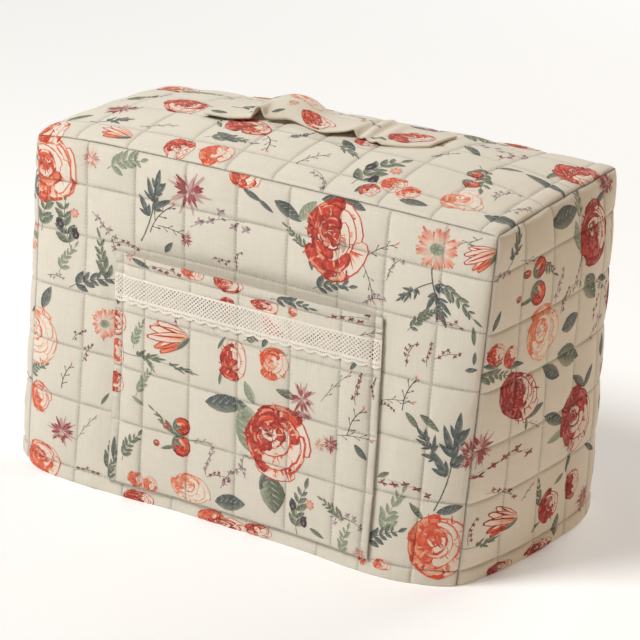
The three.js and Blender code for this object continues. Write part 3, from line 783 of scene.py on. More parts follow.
def lace_pattern():
    """The lace laid flat, each face one hole or solid, with the holes cut out."""
    bm = bmesh.new()
    holes, spots = [], {}
    columns, rows = round(POCKET_WIDTH / LACE["pitch"]), LACE["rows"]

    def face(ring):
        corners = []
        for i, up in ring:
            key = (i, round(up, 3))
            if key not in spots:
                spots[key] = bm.verts.new((i * LACE["pitch"] / 2, up, 0))
            corners.append(spots[key])
        return bm.faces.new(corners)

    half = (LACE["net_top"] - LACE["net_bottom"]) / (2 * rows)
    levels = [LACE["net_bottom"] + half * j for j in range(2 * rows + 1)]
    for j in range(2 * rows + 1):
        for i in range(1 - j % 2, 2 * columns + 1, 2):
            around = [(i - 1, j), (i, j - 1), (i + 1, j), (i, j + 1)]
            inside = [(a, b) for a, b in around if 0 <= a <= 2 * columns and 0 <= b <= 2 * rows]
            if len(inside) >= 3:
                holes.append(face([(a, levels[b]) for a, b in inside]))
    scallops = round(POCKET_WIDTH / LACE["scallop"])
    for i in range(2 * columns):
        edges = []
        for k in (i, i + 1):
            wave = abs(math.sin(math.pi * scallops * k / (2 * columns)))
            edges.append(LACE["bottom"] + LACE["depth"] * (1 - wave))
        for step, (low, high) in EDGE_STEPS.items():
            made = face([(i, mix(edges[0], levels[0], low)), (i + 1, mix(edges[1], levels[0], low)),
                         (i + 1, mix(edges[1], levels[0], high)), (i, mix(edges[0], levels[0], high))])
            if step == "hole":
                holes.append(made)
        face([(i, levels[-1]), (i + 1, levels[-1]), (i + 1, LACE["top"]), (i, LACE["top"])])
    bm.normal_update()
    threads = bmesh.ops.inset_individual(bm, faces=holes, thickness=LACE["thread"], use_even_offset=True)
    bmesh.ops.delete(bm, geom=[hole for hole in holes if hole.is_valid], context="FACES_ONLY")
    print("lace", len(holes), "holes", len(threads["faces"]), "threads")
    return bm


bm = lace_pattern()
flat = np.array([v.co[:2] for v in bm.verts])
cloth = bm.loops.layers.uv.new("cloth")
for face in bm.faces:
    for loop in face.loops:
        loop[cloth].uv = loop.vert.co.xy * MM
for v, spot in zip(bm.verts, lace_spot(flat[:, 0], flat[:, 1])):
    v.co = Vector(spot * MM)
mesh = bpy.data.meshes.new("mouth_lace")
bm.to_mesh(mesh)
bm.free()
mesh.materials.append(lace_cotton)
lace = add_piece("mouth_lace", mesh)
solid = lace.modifiers.new("thread", "SOLIDIFY")
solid.thickness, solid.offset = LACE["cloth"] * MM, -1
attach(lace, "root")
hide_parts("lace_trim")

# %% [markdown]
# ## The flower print
# The cotton is printed with roses, buds, carnations and leaves in a few flat inks. A
# picture file could carry them, but then the pattern would be fixed to one picture's
# pixels. Here each motif is drawn from ovals, as a print designer cuts a stencil: a petal
# is a dark outline, a pale rim and a coloured body, laid one over the other. Where light
# falls on a rose, its petals keep the colour of the bare cloth inside a thin outline.
# The numbers in a motif are shares of its half width, its levels tell which ink lies over
# which, and its turns are in radians.

# %% Inks and the petal, leaf and stem that every motif is made of
INK = {
    "cream": "F5E8D6", "blush": "F2C3A8", "peach": "EE946C", "coral": "E4603F",
    "red": "CF4433", "deep": "A62A22", "wine": "7C2427", "maroon": "8E2F3C", "rose_grey": "BD8A88",
    "lilac": "AE979E", "plum": "463B42", "slate": "5A6261", "olive": "69705E", "sage": "90987F",
    "mist": "B3B9A3", "bark": "554B43", "ground": "EBE1D1",
}
INK = {name: np.array(linear(code)[:3]) for name, code in INK.items()}
GREEN = (INK["olive"], INK["sage"])
FULL_TURN = 2 * math.pi


def oval(level, x, y, long, wide, turn, base, tip, corners=9, taper=0.0):
    """One petal with its root at x, y, and the printing level that it lies on."""
    shape = []
    c, s = math.cos(turn), math.sin(turn)
    for k in range(corners):
        angle = FULL_TURN * k / corners
        along, aside = 0.5 - 0.5 * math.cos(angle), 0.5 * math.sin(angle)
        aside *= 1 - taper * along
        shape.append((x + long * along * c - wide * aside * s, y + long * along * s + wide * aside * c,
                      *mix(base, tip, along)))
    return level, shape


def stem(spots, wide, tone):
    shapes = []
    for (x0, y0), (x1, y1) in zip(spots[:-1], spots[1:]):
        run = math.hypot(x1 - x0, y1 - y0) or 1.0
        off_x, off_y = -(y1 - y0) / run * wide / 2, (x1 - x0) / run * wide / 2
        corners = ((x0 + off_x, y0 + off_y), (x0 - off_x, y0 - off_y),
                   (x1 - off_x * 0.8, y1 - off_y * 0.8), (x1 + off_x * 0.8, y1 + off_y * 0.8))
        shapes.append((0, [(x, y, *tone) for x, y in corners]))
    return shapes


def leaf(x, y, long, wide, turn, dark, light, level=1, veins=3):
    """A leaf with a dark and a light half, and veins that lie one level above them."""
    c, s = math.cos(turn), math.sin(turn)

    def at(along, aside, tone):
        return (x + long * along * c - aside * s, y + long * along * s + aside * c, *tone)

    shapes = []
    for side, tone in ((1, dark), (-1, mix(light, INK["ground"], 0.22))):
        edge = []
        for f in (0.12, 0.3, 0.5, 0.7, 0.88):
            aside = side * wide / 2 * math.sin(math.pi * f) ** 0.75 * (1.15 - 0.3 * f)
            edge.append(at(f, aside, mix(tone, dark, 0.3 * f)))
        shapes.append((level, [at(0, 0, dark), *edge, at(1, 0, dark)]))
    for k in range(veins):
        f = (k + 1) / (veins + 1.3)
        for side, tone in ((1, mix(light, INK["cream"], 0.25)), (-1, dark)):
            aside = side * wide * 0.36 * math.sin(math.pi * min(f + 0.1, 1)) ** 0.75
            vein = [at(f, 0, tone), at(f + 0.05, 0, tone), at(f + 0.17, aside, tone)]
            shapes.append((level + 1, vein))
    return shapes


# %% Roses: rings of petals round a dark heart, lit from one side
ROSES = {
    "coral": {"inks": ("deep", "coral", "peach", "cream"), "lit_from": 0.72},
    "red": {"inks": ("wine", "red", "coral", "blush"), "lit_from": 0.7},
    "peach": {"inks": ("coral", "peach", "blush", "cream"), "lit_from": 0.3},
    "orange": {"inks": ("red", "coral", "peach", "blush"), "lit_from": 0.66},
    "wine": {"inks": ("wine", "deep", "red", "rose_grey"), "lit_from": 0.72},
}
LARGE_ROSE = 18
RING = ("reach", "long", "petals")
RINGS = {
    "large": ((1.0, 0.56, 6), (0.8, 0.52, 6), (0.6, 0.44, 5), (0.4, 0.36, 4), (0.22, 0.26, 3)),
    "small": ((1.0, 0.6, 6), (0.68, 0.5, 5), (0.38, 0.38, 3)),
}


def petal_tones(tones, share, lit_from, dice):
    deep, body, light, pale = tones
    pick = dice.random() + 0.55 * (share - 0.45)
    if share > lit_from:
        return mix(pale, INK["cream"], 0.5), INK["ground"]
    if pick < 0.2:
        return mix(deep, body, 0.25), body
    if pick < 0.6:
        return mix(body, deep, 0.3), mix(body, light, 0.25)
    if pick < 0.8:
        return body, light
    return light, pale


def rose(size, tone, dice):
    deep, body, light, pale = tones = [INK[key] for key in ROSES[tone]["inks"]]
    lit_from = ROSES[tone]["lit_from"]
    sun = dice.uniform(-0.7, 0.7)
    rings = [dict(zip(RING, row)) for row in RINGS["small" if size < LARGE_ROSE else "large"]]
    shapes = []
    for ring, sizes in enumerate(rings):
        start = dice.uniform(0, FULL_TURN)
        aside_x, aside_y = -0.05 * size * ring, 0.045 * size * ring
        count, reach, long = sizes["petals"], size * sizes["reach"], size * sizes["long"]
        for k in range(count):
            turn = start + FULL_TURN * (k + dice.uniform(-0.22, 0.22)) / count
            near = reach * dice.uniform(0.8, 1.1) - long
            wide = 2.5 * reach * math.sin(math.pi / count) * dice.uniform(0.8, 1.12)
            share = 0.5 + 0.5 * math.cos(turn - sun)
            face_light = share if ring < 3 else dice.uniform(0.1, 0.85)
            face = petal_tones(tones, face_light, lit_from, dice)
            rim = mix(light, pale, 0.4 + 0.6 * share)
            level = 6 * ring + 3 * (k % 2)
            root = (aside_x + near * math.cos(turn), aside_y + near * math.sin(turn))
            tilt = turn + dice.uniform(-0.3, 0.3)
            lit = ring < 3 and share > lit_from
            under = (body, mix(body, light, 0.4)) if lit else (deep, mix(body, deep, 0.3))
            shapes.append(oval(level, *root, long, wide, tilt, *under, 11))
            for lobe in range(3 if ring < 2 else 2):
                swing = tilt + (lobe - 1) * 0.34 + dice.uniform(-0.08, 0.08)
                out = long * dice.uniform(0.9, 1.07)
                shapes.append(oval(level, *root, out, wide * 0.42, swing, body, mix(body, light, 0.4)))
                shapes.append(oval(level + 1, *root, out * 0.96, wide * 0.36, swing, body, rim))
            part = dice.uniform(0.88, 0.95) if lit else dice.uniform(0.74, 0.88)
            shapes.append(oval(level + 2, *root, long * part, wide * (part + 0.02), tilt, *face, 11))
            streaks = ((deep, body), (rim, pale), (deep, deep))
            if lit:
                streaks = ((body, light), (light, pale), (light, light))
            for streak in range(5 if size > LARGE_ROSE else 3):
                swing = tilt + dice.uniform(-0.6, 0.6)
                shapes.append(oval(level + 3, *root, long * dice.uniform(0.5, 0.9),
                                   wide * (0.06 if lit else 0.1), swing, *streaks[streak % 3], 6, 0.5))
    for k in range(16 if size > LARGE_ROSE else 9):
        turn = dice.uniform(0.6, FULL_TURN - 0.6)
        near = size * dice.uniform(0.55, 0.8)
        long = size * dice.uniform(0.22, 0.4)
        inks = ((deep, body), (body, light), (light, pale))[k % 3]
        shapes.append(oval(6 + k % 3, near * math.cos(turn), near * math.sin(turn), long, size * 0.09,
                           turn + dice.uniform(-0.5, 0.5), *inks, 7, 0.6))
    heart_x, heart_y = -0.05 * size * len(rings), 0.045 * size * len(rings)
    for k, (x, y) in enumerate(((0.04, 0.02), (-0.08, 0.04), (0.0, -0.08))):
        shapes.append(oval(6 * len(rings) + k, heart_x + x * size, heart_y + y * size, size * 0.16,
                           size * 0.08, dice.uniform(0, 6.3), deep, pale if k == 1 else body, 7))
    return shapes


# %% Carnations, open flowers, tulips and buds
def carnation(size, tone, dice):
    dark, light = INK["rose_grey"], INK["blush"]
    if tone == "maroon":
        dark, light = mix(INK["deep"], INK["maroon"], 0.5), INK["rose_grey"]
    shapes = []
    for ring, (reach, count, wide) in enumerate(((1.0, 13, 0.16), (0.8, 12, 0.22), (0.6, 9, 0.22))):
        for k in range(count):
            turn = FULL_TURN * (k + dice.uniform(-0.45, 0.45)) / count
            long = size * reach * dice.uniform(0.6, 1.0)
            near = size * dice.uniform(0.02, 0.2)
            faint = ring == 0 or (k + ring) % 4 == 0
            tones = (light, mix(light, INK["cream"], 0.3)) if faint else (mix(light, dark, 0.5), dark)
            swing = turn + dice.uniform(-0.35, 0.35)
            shapes.append(oval(2 * ring + k % 2, near * math.cos(turn), near * math.sin(turn), long,
                               size * wide, swing, *tones, 7, 0.6))
    for _ in range(4):
        shapes.append(oval(7, 0, 0, size * 0.3, size * 0.09, dice.uniform(0, 6.3), light, INK["cream"], 6))
    return shapes


def open_flower(size, tone, dice):
    shapes = []
    for k in range(11):
        turn = FULL_TURN * (k + dice.uniform(-0.2, 0.2)) / 11
        long = size * dice.uniform(0.72, 0.95)
        for strand in range(3):
            swing = turn + (strand - 1) * 0.17
            reach = long * (1 - 0.12 * abs(strand - 1)) * dice.uniform(0.9, 1.08)
            tip = mix(INK["coral"], INK["red"], 0.4) if (k + strand) % 2 else INK["peach"]
            level = 2 * (k % 2) + strand % 2
            shapes.append(oval(level, 0, 0, reach, size * 0.2, swing, INK["cream"], tip, 7, 0.35))
    for k in range(9):
        reach, turn = size * dice.uniform(0.42, 0.7), FULL_TURN * (k + 0.5) / 9
        shapes.append(oval(5, 0, 0, reach, size * 0.13, turn, INK["mist"], INK["cream"], 6, 0.6))
    shapes.append(oval(6, -0.24 * size, 0, size * 0.48, size * 0.42, 0, INK["sage"], INK["mist"], 10))
    for k in range(6):
        shapes.append(oval(7, 0, 0, size * 0.2, size * 0.05, FULL_TURN * k / 6, *GREEN, 5))
    return shapes


def lifted(shapes, levels):
    return [(level + levels, shape) for level, shape in shapes]


def tulip(size, tone, dice):
    body, light = (INK["red"], INK["peach"]) if tone != "wine" else (INK["deep"], INK["coral"])
    x = -0.75 * size
    shapes = []
    petals = ((-0.5, 0.95, 0.34), (0.5, 0.95, 0.34), (-0.26, 1.12, 0.36), (0.3, 1.05, 0.34), (0.0, 1.2, 0.36))
    for k, (swing, reach, wide) in enumerate(petals):
        turn, long, wide = swing * 0.9, 1.5 * size * reach, size * wide
        inside = (INK["blush"], INK["ground"]) if k % 2 == 0 else (body, light)
        shapes.append(oval(3 * k, x, 0, long, wide * 1.5, turn, INK["deep"], body, 9, 0.45))
        shapes.append(oval(3 * k + 1, x, 0, long * 0.95, wide * 1.3, turn, *inside, 9, 0.5))
        shapes.append(oval(3 * k + 2, x + 0.1 * size, 0, long * 0.72, wide * 0.75,
                           turn + dice.uniform(-0.05, 0.05), light, INK["cream"], 8, 0.5))
        shapes.append(oval(3 * k + 3, x, 0, long * 0.9, size * 0.07,
                           turn + dice.uniform(-0.14, 0.14), INK["deep"], body, 6))
    return shapes + lifted(leaf(x, 0, size * 0.7, size * 0.2, 0.7, *GREEN, 1, 1), 15)


def bud(size, tone, dice):
    body = INK["red"] if tone != "wine" else INK["deep"]
    shapes = [
        oval(0, -size, 0, 2 * size, 1.8 * size, 0, INK["wine"], INK["deep"], 11),
        oval(1, -0.9 * size, 0.05 * size, 1.7 * size, 1.5 * size, 0, body, INK["coral"], 11),
        oval(2, -0.5 * size, 0.35 * size, 1.2 * size, 0.4 * size, -0.3, INK["blush"], INK["coral"], 8),
        oval(2, -0.4 * size, -0.3 * size, 1.1 * size, 0.5 * size, 0.3, INK["deep"], body, 8),
    ]
    for swing in (-0.9, 0.0, 0.9):
        shapes += lifted(leaf(-size, 0, size * 1.1, size * 0.35, swing, *GREEN, 1, 1), 2)
    return shapes


# %% Leaves on stems: sprays, slate twigs, plum sprigs, and fine sprigs of small flowers
LEAF_TONES = {"dark": ("slate", "olive"), "mid": ("olive", "sage"), "pale": ("sage", "mist")}


def one_leaf(size, tone, dice):
    dark, light = (INK[key] for key in LEAF_TONES[tone])
    return leaf(-size, 0, 2 * size, size * 0.95, 0, dark, light, 1, 5)


def curve_of(size, bow, count=7):
    places = [2 * k / (count - 1) - 1 for k in range(count)]
    return [(size * place, bow * size * (1 - place ** 2)) for place in places]


def spray(size, tone, dice):
    dark, light = (INK[key] for key in LEAF_TONES[tone])
    spots = curve_of(size, 0.18)
    shapes = stem(spots, 0.8, dark)
    for k, (x, y) in enumerate(spots[1:-1]):
        for side in (1, -1):
            long = size * (0.72 - 0.07 * k) * dice.uniform(0.8, 1.15)
            turn = side * dice.uniform(0.55, 1.0)
            shapes += leaf(x, y, long, long * 0.44, turn, dark, light, 1 + k % 2, 2)
    return shapes + leaf(*spots[-1], size * 0.5, size * 0.22, 0, dark, light, 1, 2)


def slate_twig(size, tone, dice):
    dark, light = (INK[key] for key in LEAF_TONES[tone])
    shapes = stem(curve_of(size, -0.15), 1.3, mix(dark, light, 0.4))
    leaves = ((-0.1, 0.9, 0.75), (0.15, -0.8, 0.8), (0.35, 0.55, 0.8), (0.6, -0.45, 0.6), (0.75, 0.1, 0.7))
    for x, turn, reach in leaves:
        foot = (x * size, -0.1 * size)
        shapes += leaf(*foot, size * reach, size * 0.2, turn, dark, mix(dark, light, 0.5), 1, 1)
        for swing, part in ((0.55, 0.6), (-0.5, 0.5)):
            shapes += leaf(*foot, size * reach * part, size * 0.13, turn + swing, dark, dark, 1, 0)
    return shapes


def twig(size, tone, dice):
    spots = curve_of(size, 0.2)
    shapes = stem(spots, 0.9, INK["bark"])
    for k, (x, y) in enumerate(spots[1:-1]):
        turn = (1 if k % 2 else -1) * dice.uniform(0.6, 1.0)
        c, s = math.cos(turn), math.sin(turn)
        shapes += stem([(x, y), (x + size * 0.35 * c, y + size * 0.35 * s)], 0.6, INK["bark"])
        shapes += leaf(x + size * 0.3 * c, y + size * 0.3 * s, size * 0.22, size * 0.09, turn,
                       INK["slate"], INK["olive"], 1, 0)
    tip = oval(3, *spots[-1], size * 0.28, size * 0.2, 0.5, INK["coral"], INK["blush"], 7, 0.4)
    return shapes + [tip]


def plums(size, tone, dice):
    shapes = spray(size, "mid", dice)
    for x, y, wide in ((0.1, 0.35, 0.36), (-0.35, -0.3, 0.32)):
        shapes.append(oval(4, (x - 0.2) * size, y * size, 0.48 * size, wide * size, 0.3,
                           INK["plum"], INK["plum"]))
        shapes.append(oval(5, (x - 0.1) * size, (y + 0.04) * size, 0.2 * size, 0.1 * size, 0.3,
                           INK["lilac"], INK["plum"], 6))
    for k in range(7):
        tip = INK["coral"] if k % 2 else INK["rose_grey"]
        shapes.append(oval(4 + k % 2, 0.5 * size, -0.35 * size, 0.22 * size, 0.13 * size,
                           FULL_TURN * k / 7, INK["blush"], tip, 6))
    return shapes


def sprig(size, tone, dice):
    petal = INK["maroon"] if tone == "maroon" else INK["lilac"]
    spots = curve_of(size, 0.22, 6)
    shapes = stem(spots, 0.5, INK["bark"])
    for x, y in spots[1:]:
        y += size * dice.uniform(-0.35, 0.35)
        shapes += stem([(x - 0.12 * size, y * 0.4), (x, y)], 0.4, INK["bark"])
        for k in range(4):
            turn = dice.uniform(0, 1) + math.pi * k / 2
            root, tip = INK["plum"] if k == 0 else petal, mix(petal, INK["blush"], 0.35 * (k % 2))
            shapes.append(oval(1 + k % 2, x, y, size * 0.2, size * 0.12, turn, root, tip, 6, 0.3))
        shapes += leaf(x, y * 0.5, size * 0.22, size * 0.08, dice.uniform(-1.5, 1.5), *GREEN, 1, 0)
    return shapes


MOTIFS = {
    "rose": rose, "carnation": carnation, "open": open_flower, "tulip": tulip, "bud": bud,
    "leaf": one_leaf, "spray": spray, "slate": slate_twig, "twig": twig, "plums": plums, "sprig": sprig,
}
print("motifs", ", ".join(MOTIFS))

# %% [markdown]
# ## Where the motifs stand
# Each chart lists its motifs in the flat cloth's own millimetres: kind, tone, place
# across and up, half width, half height over half width, and turn in degrees. A motif
# with one tone only has a dash there, and a row may leave out a turn of 0, and then a
# slimness of 1. The print was placed as the cover shows it. The back and the left
# end, which nobody sees in the picture, take a stretch of the same repeating print.

# %% Charts of the visible panels
# The columns of a chart, each with what it says where a row leaves it out.
CHART = {"kind": "", "tone": "", "across": 0, "up": 0, "half": 0, "slim": 1, "turn": 0}
CHARTS = {}


def read_chart(text):
    rows = []
    for row in text.split(","):
        kind, tone, *numbers = row.split()
        numbers = [float(number) for number in numbers]
        rows.append((kind, tone, *numbers, *list(CHART.values())[2 + len(numbers):]))
    return rows


CHARTS["quilt_front"] = read_chart("""
    rose orange 190 5 15 0.45 5, rose red 236 5 15 0.45 5, spray mid 12 232 15 1 70,
    spray pale 88 284 13 1 20, slate dark 113 250 24 1 75, twig - 126 246 15 1 50,
    leaf dark 133 224 6 0.8 50, twig - 137 238 13 0.6 -10, carnation maroon 150 234 8,
    sprig lilac 180 252 20 0.7 15, sprig maroon 184 223 6, sprig maroon 201 226 6 1 80,
    leaf dark 213 283 9 0.55 -20, leaf dark 226 277 8 0.5 -30, leaf dark 247 277 13 0.8 -25,
    leaf pale 265 281 11 0.9 50, leaf dark 290 295 12 0.6 10, spray mid 258 257 10 0.7 150,
    leaf dark 271 243 8 0.6 100, leaf dark 308 294 9 0.6 -10, spray dark 290 224 14 0.8 15,
    twig - 325 236 13 0.7 -70, sprig lilac 347 251 8 1 60, twig - 335 264 14 0.6 30,
    slate dark 388 246 20 1 -70, spray mid 405 240 16 0.6 -35, slate dark 370 240 14 0.7 215,
    spray mid 380 222 9 0.7 30, sprig maroon 400 219 9 0.7, leaf mid 424 214 7 0.6 100,
    leaf dark 427 196 5 0.7 90, leaf dark 425 186 5 0.8 10, plums - 34 223 17 1 100,
    sprig lilac 68 226 13 1 -50, sprig maroon 90 217 9 0.8, spray pale 33 193 11 0.8 60,
    spray mid 72 200 15 0.7 110, spray dark 58 178 18 0.8 20, leaf dark 14 156 10 0.9 70,
    sprig maroon 48 131 6 1 40, sprig maroon 57 117 7 1 60, twig - 38 92 11 0.8 70, spray mid 8 88 9 0.8 40,
    leaf mid 76 82 6 0.5 60, sprig lilac 22 176 6, twig - 60 52 13 0.4 55, spray mid 88 34 15 0.8 80,
    sprig maroon 62 13 9 0.7 10, spray mid 373 214 9 0.8 40, sprig maroon 369 188 8 1 70,
    sprig maroon 386 191 7 1 80, sprig maroon 402 193 9 0.8 20, twig - 371 156 13 1 70,
    twig - 360 148 14 0.5 10, leaf mid 376 136 8 0.7 -40, leaf mid 392 137 10 0.6 -30,
    sprig maroon 350 141 6, slate dark 410 100 32 1 80, slate dark 398 110 18 0.9 130,
    sprig maroon 370 80 20 0.5 -5, leaf mid 354 86 6 0.7 30, spray pale 366 54 17 0.8 70,
    spray dark 358 33 14 0.9 30, leaf dark 419 67 12 0.6 15, leaf mid 388 62 9 0.6 140,
    leaf dark 30 250 9 0.7 220, rose coral 15 272 28 1.15 30, rose coral 204 297 15 0.8,
    rose red 291 263 29 1.1, open - 384 276 25 0.95, tulip - 424 279 17 1 210, carnation pink 55 284 11,
    carnation maroon 152 274 23 0.85, rose peach 6 120 25 1.1, rose orange 13 65 12 1.15,
    carnation maroon 37 43 15, rose orange 20 12 18 0.9, open - 73 147 17, rose orange 413 35 29 0.95,
    carnation maroon 434 115 14 1.4, rose orange 362 11 9 0.5, rose red 205 1 25 0.3, rose red 118 2 16 0.5,
    rose orange 344 12 5 1.3, sprig lilac 330 222 8 1 20, leaf mid 420 284 8 0.5 160,
    twig - 410 289 12 0.5 200
""")

CHARTS["pocket_patch"] = read_chart("""
    slate mid 28 117 18 0.5 5, slate mid 62 116 18 0.3 -5, leaf mid 38 112 9 0.35 -45,
    spray pale 26 132 9 0.8 70, spray pale 33 93 11 0.7 60, leaf pale 28 77 6 0.6 -30,
    leaf mid 112 117 6 0.5 80, leaf mid 112 146 6 0.5 60, leaf dark 118 96 19 0.75 8,
    leaf pale 141 111 9 1 120, leaf pale 138 78 17 1.1 110, leaf pale 140 92 13 1 150,
    leaf mid 177 118 9 0.8 170, twig - 224 134 17 0.4 48, leaf mid 167 30 15 1.5 -80,
    leaf dark 158 40 9 0.9 250, leaf dark 125 11 14 1 10, plums - 196 22 17 1 80,
    sprig lilac 104 41 9 1.1 70, sprig lilac 125 33 11 1 50, sprig maroon 112 30 8 1 10,
    sprig lilac 138 46 7 1 100, spray mid 60 64 13 0.5 150, leaf mid 60 44 7 0.5 200, twig - 92 56 11 0.5 10,
    spray mid 230 34 10 0.8 160, sprig lilac 240 26 11, spray pale 242 8 10 1 80, twig - 244 110 13 0.9 60,
    twig - 243 97 15 0.5 5, leaf dark 250 87 7 0.8 -45, sprig maroon 246 137 9 1 80, sprig maroon 49 160 7,
    sprig maroon 66 159 7 1 90, leaf dark 156 158 7 0.7 60, spray mid 144 156 8 0.7 20,
    leaf dark 240 156 5 0.7 50, sprig maroon 17 165 7, spray mid 22 34 11 0.9 60, leaf dark 5 30 9 0.5 90,
    spray mid 5 10 10 0.6 80, leaf dark 4 161 7 0.7 80, leaf dark 28 194 9 0.5 -15,
    sprig maroon 52 193 12 0.6, spray dark 178 193 14 0.5, sprig maroon 232 192 15 0.5 10,
    leaf dark 255 168 6 0.6 80, sprig maroon 259 140 6 1 90, leaf mid 213 8 7 0.6 -20,
    twig - 250 182 12 0.5 20, spray mid 90 172 14 0.8 10, rose red 163 172 11, rose red 118 176 9,
    leaf dark 60 175 10 0.6 30, leaf mid 200 170 10 0.6 200, sprig maroon 220 174 12 0.8,
    rose red 169 76 34 0.92, tulip - 60 139 25 0.85 190, rose red 124 134 15 1.1,
    rose orange 164 141 15 0.95, carnation maroon 193 118 17, carnation maroon 193 104 13 0.35,
    bud - 73 65 9 1 20, bud - 73 48 10 1.05 -30, bud - 57 62 3.2, bud - 48 45 3.2, rose peach 85 13 19 0.75,
    rose orange 29 7 8, rose orange 43 6 8, carnation maroon 222 87 9, carnation pink 212 84 7,
    rose red 4 139 10 1.1, rose orange 4 114 8 1.4, rose red 4 88 8 1.2, rose orange 82 197 12 0.45,
    rose red 118 196 16 0.5, carnation pink 16 197 6 0.8, rose red 154 186 14 0.35,
    rose orange 181 187 5 0.8, carnation pink 256 3 8 0.8
""")

CHARTS["quilt_end_right"] = read_chart("""
    leaf dark 104 284 19 0.85 3, spray pale 130 288 12 0.8 80, leaf pale 124 263 13 0.9 110,
    leaf mid 149 214 14 1.3 -50, twig - 50 262 17 0.5 -20, spray mid 74 250 11 0.7 -30,
    leaf mid 46 231 8 0.5 190, sprig lilac 96 229 10 1 70, sprig lilac 116 220 11 1 20,
    sprig maroon 106 214 8 1 50, sprig lilac 127 231 8 1 80, leaf dark 117 193 13 1.1 10,
    leaf mid 119 164 17 1.1 -20, leaf dark 92 158 13 0.9 150, leaf dark 36 181 11 0.5 -8,
    leaf dark 9 189 8 0.8, spray mid 10 178 13 0.7 -10, leaf dark 70 132 12 0.6 12, twig - 66 121 12 0.5 -25,
    leaf mid 59 124 6 0.6 100, sprig lilac 176 202 14 1 -40, leaf dark 174 214 9 0.7 -20,
    sprig maroon 163 191 8 1 60, leaf dark 184 152 9 1 80, sprig lilac 166 172 10 1 30,
    leaf dark 140 135 10 0.8 140, leaf dark 155 135 10 0.8 50, leaf dark 102 114 15 0.7 -25,
    leaf pale 106 98 12 0.6 190, sprig maroon 28 98 27 0.45 5, slate mid 14 33 16 0.5,
    sprig maroon 6 46 8 1 80, twig - 70 61 9 0.6 30, leaf dark 131 66 8 0.7 60, leaf mid 116 57 7 0.6 200,
    spray mid 90 50 9 0.7 100, leaf mid 86 24 6 0.5 30, leaf mid 116 16 9 1 80, leaf dark 172 65 11 0.5 -30,
    slate dark 18 276 16 0.8 60, sprig lilac 8 262 7 1 20, leaf dark 7 226 8 0.6 70,
    leaf dark 168 284 11 0.5 10, sprig maroon 34 70 14 0.6 -20, spray pale 194 95 12 0.8 -30,
    twig - 192 250 14 0.6 80, leaf mid 198 215 9 0.7 60, spray mid 196 40 11 0.8 70,
    rose wine 153 258 27 1.02, rose peach 73 196 25, rose wine 45 153 29 0.72 -35, rose wine 138 102 26,
    tulip wine 40 46 24 0.85 170, rose wine 103 38 15, rose wine 139 44 13, carnation maroon 163 22 15 0.9,
    carnation maroon 5 119 16 1.1, bud wine 61 255 10 0.9 30, bud wine 61 234 12 0.95 -40,
    bud wine 44 254 5 0.8, bud wine 34 236 4 0.8, rose red 10 197 10, rose red 28 191 9,
    rose wine 40 4 15 0.35, rose wine 92 4 20 0.3, carnation maroon 181 292 15 0.8, rose wine 200 190 12 1.2,
    carnation pink 192 128 12
""")

CHARTS["quilt_top"] = read_chart("""
    slate dark 46 34 14 0.8 20, leaf dark 157 39 12 0.7 160, spray mid 158 36 15 0.6 10,
    twig - 190 45 13 1 -60, twig - 238 36 12 0.9 50, sprig lilac 258 13 10 1 -40,
    leaf dark 122 72 10 0.6 -10, leaf mid 136 60 8 0.5 -50, leaf dark 250 72 12 0.7 -40,
    slate mid 247 66 17 0.5 -25, plums - 296 37 20 1 70, leaf dark 345 10 11 0.7 5,
    leaf dark 300 14 9 0.8 60, spray mid 366 76 17 0.8 -60, sprig lilac 398 59 10 1 80,
    sprig lilac 417 45 9 1 60, leaf dark 415 23 13 1.1 10, leaf dark 408 108 18 0.5 -5,
    leaf mid 403 131 9 0.6 80, leaf dark 330 130 15 0.5 -40, twig - 322 98 11 0.8 60, sprig lilac 336 148 13,
    sprig maroon 362 140 12 1 70, spray mid 30 108 15 0.7 60, leaf dark 120 112 13 0.8 100,
    spray pale 60 150 17 0.8 20, sprig maroon 200 150 17 0.7, sprig lilac 105 150 15 1 40,
    spray dark 205 70 8 0.7 60, leaf mid 215 120 12 0.6 -40, twig - 92 36 13 0.6 20,
    leaf mid 18 34 10 0.7 40, slate dark 240 168 20 0.8 20, spray mid 310 176 15 0.7,
    sprig lilac 150 178 14 0.8, leaf mid 375 108 10 0.6 20, rose coral 6 6 20 0.9, tulip - 70 13 18 0.85 170,
    rose red 129 12 14 0.95, rose orange 163 13 14 0.95, carnation maroon 38 66 20 0.9,
    rose red 84 92 24 0.8 -30, rose red 160 66 22 0.75, rose orange 318 27 12 0.9, rose orange 334 21 11 0.9,
    rose red 305 12 8, rose peach 376 31 18 0.9, bud - 361 78 7 0.9 20, bud - 367 60 8 0.9 -20,
    rose red 415 151 20, rose red 285 120 16 1.3, rose orange 192 112 22 0.7 -30, rose coral 28 168 18 0.9,
    carnation maroon 270 182 13 0.9, rose peach 110 188 17 0.8, rose red 345 190 15 0.9,
    rose red 258 86 11 0.8
""")

CHARTS["carrying_band"] = read_chart("""
    leaf dark 12 7 8 0.8, slate dark 27 25 12 0.9, leaf mid 46 12 6 0.7 30, rose peach 80 37 15 0.6,
    carnation pink 74 20 7 0.8, rose red 104 13 19 0.7 -20, leaf dark 66 8 5 0.7 20, rose red 192 20 19 0.75,
    leaf mid 170 6 7 0.6 10, sprig lilac 152 24 6, rose peach 46 42 10 0.8
""")


# %% The hidden panels, cut from the next stretch of the roll
# The pocket's chart is moved to its place on the front, so that the roll has no bare patch.
POCKET_PLACE = {"across": 84, "up": 13, "below": 180}
BACK_MOVE = {"across": 205, "up": 150}
END_MOVE = {"across": 130, "up": 60}
END_REACH = 215

roll = list(CHARTS["quilt_front"])
for kind, tone, across, up, *rest in CHARTS["pocket_patch"]:
    if up < POCKET_PLACE["below"]:
        roll.append((kind, tone, across + POCKET_PLACE["across"], up + POCKET_PLACE["up"], *rest))


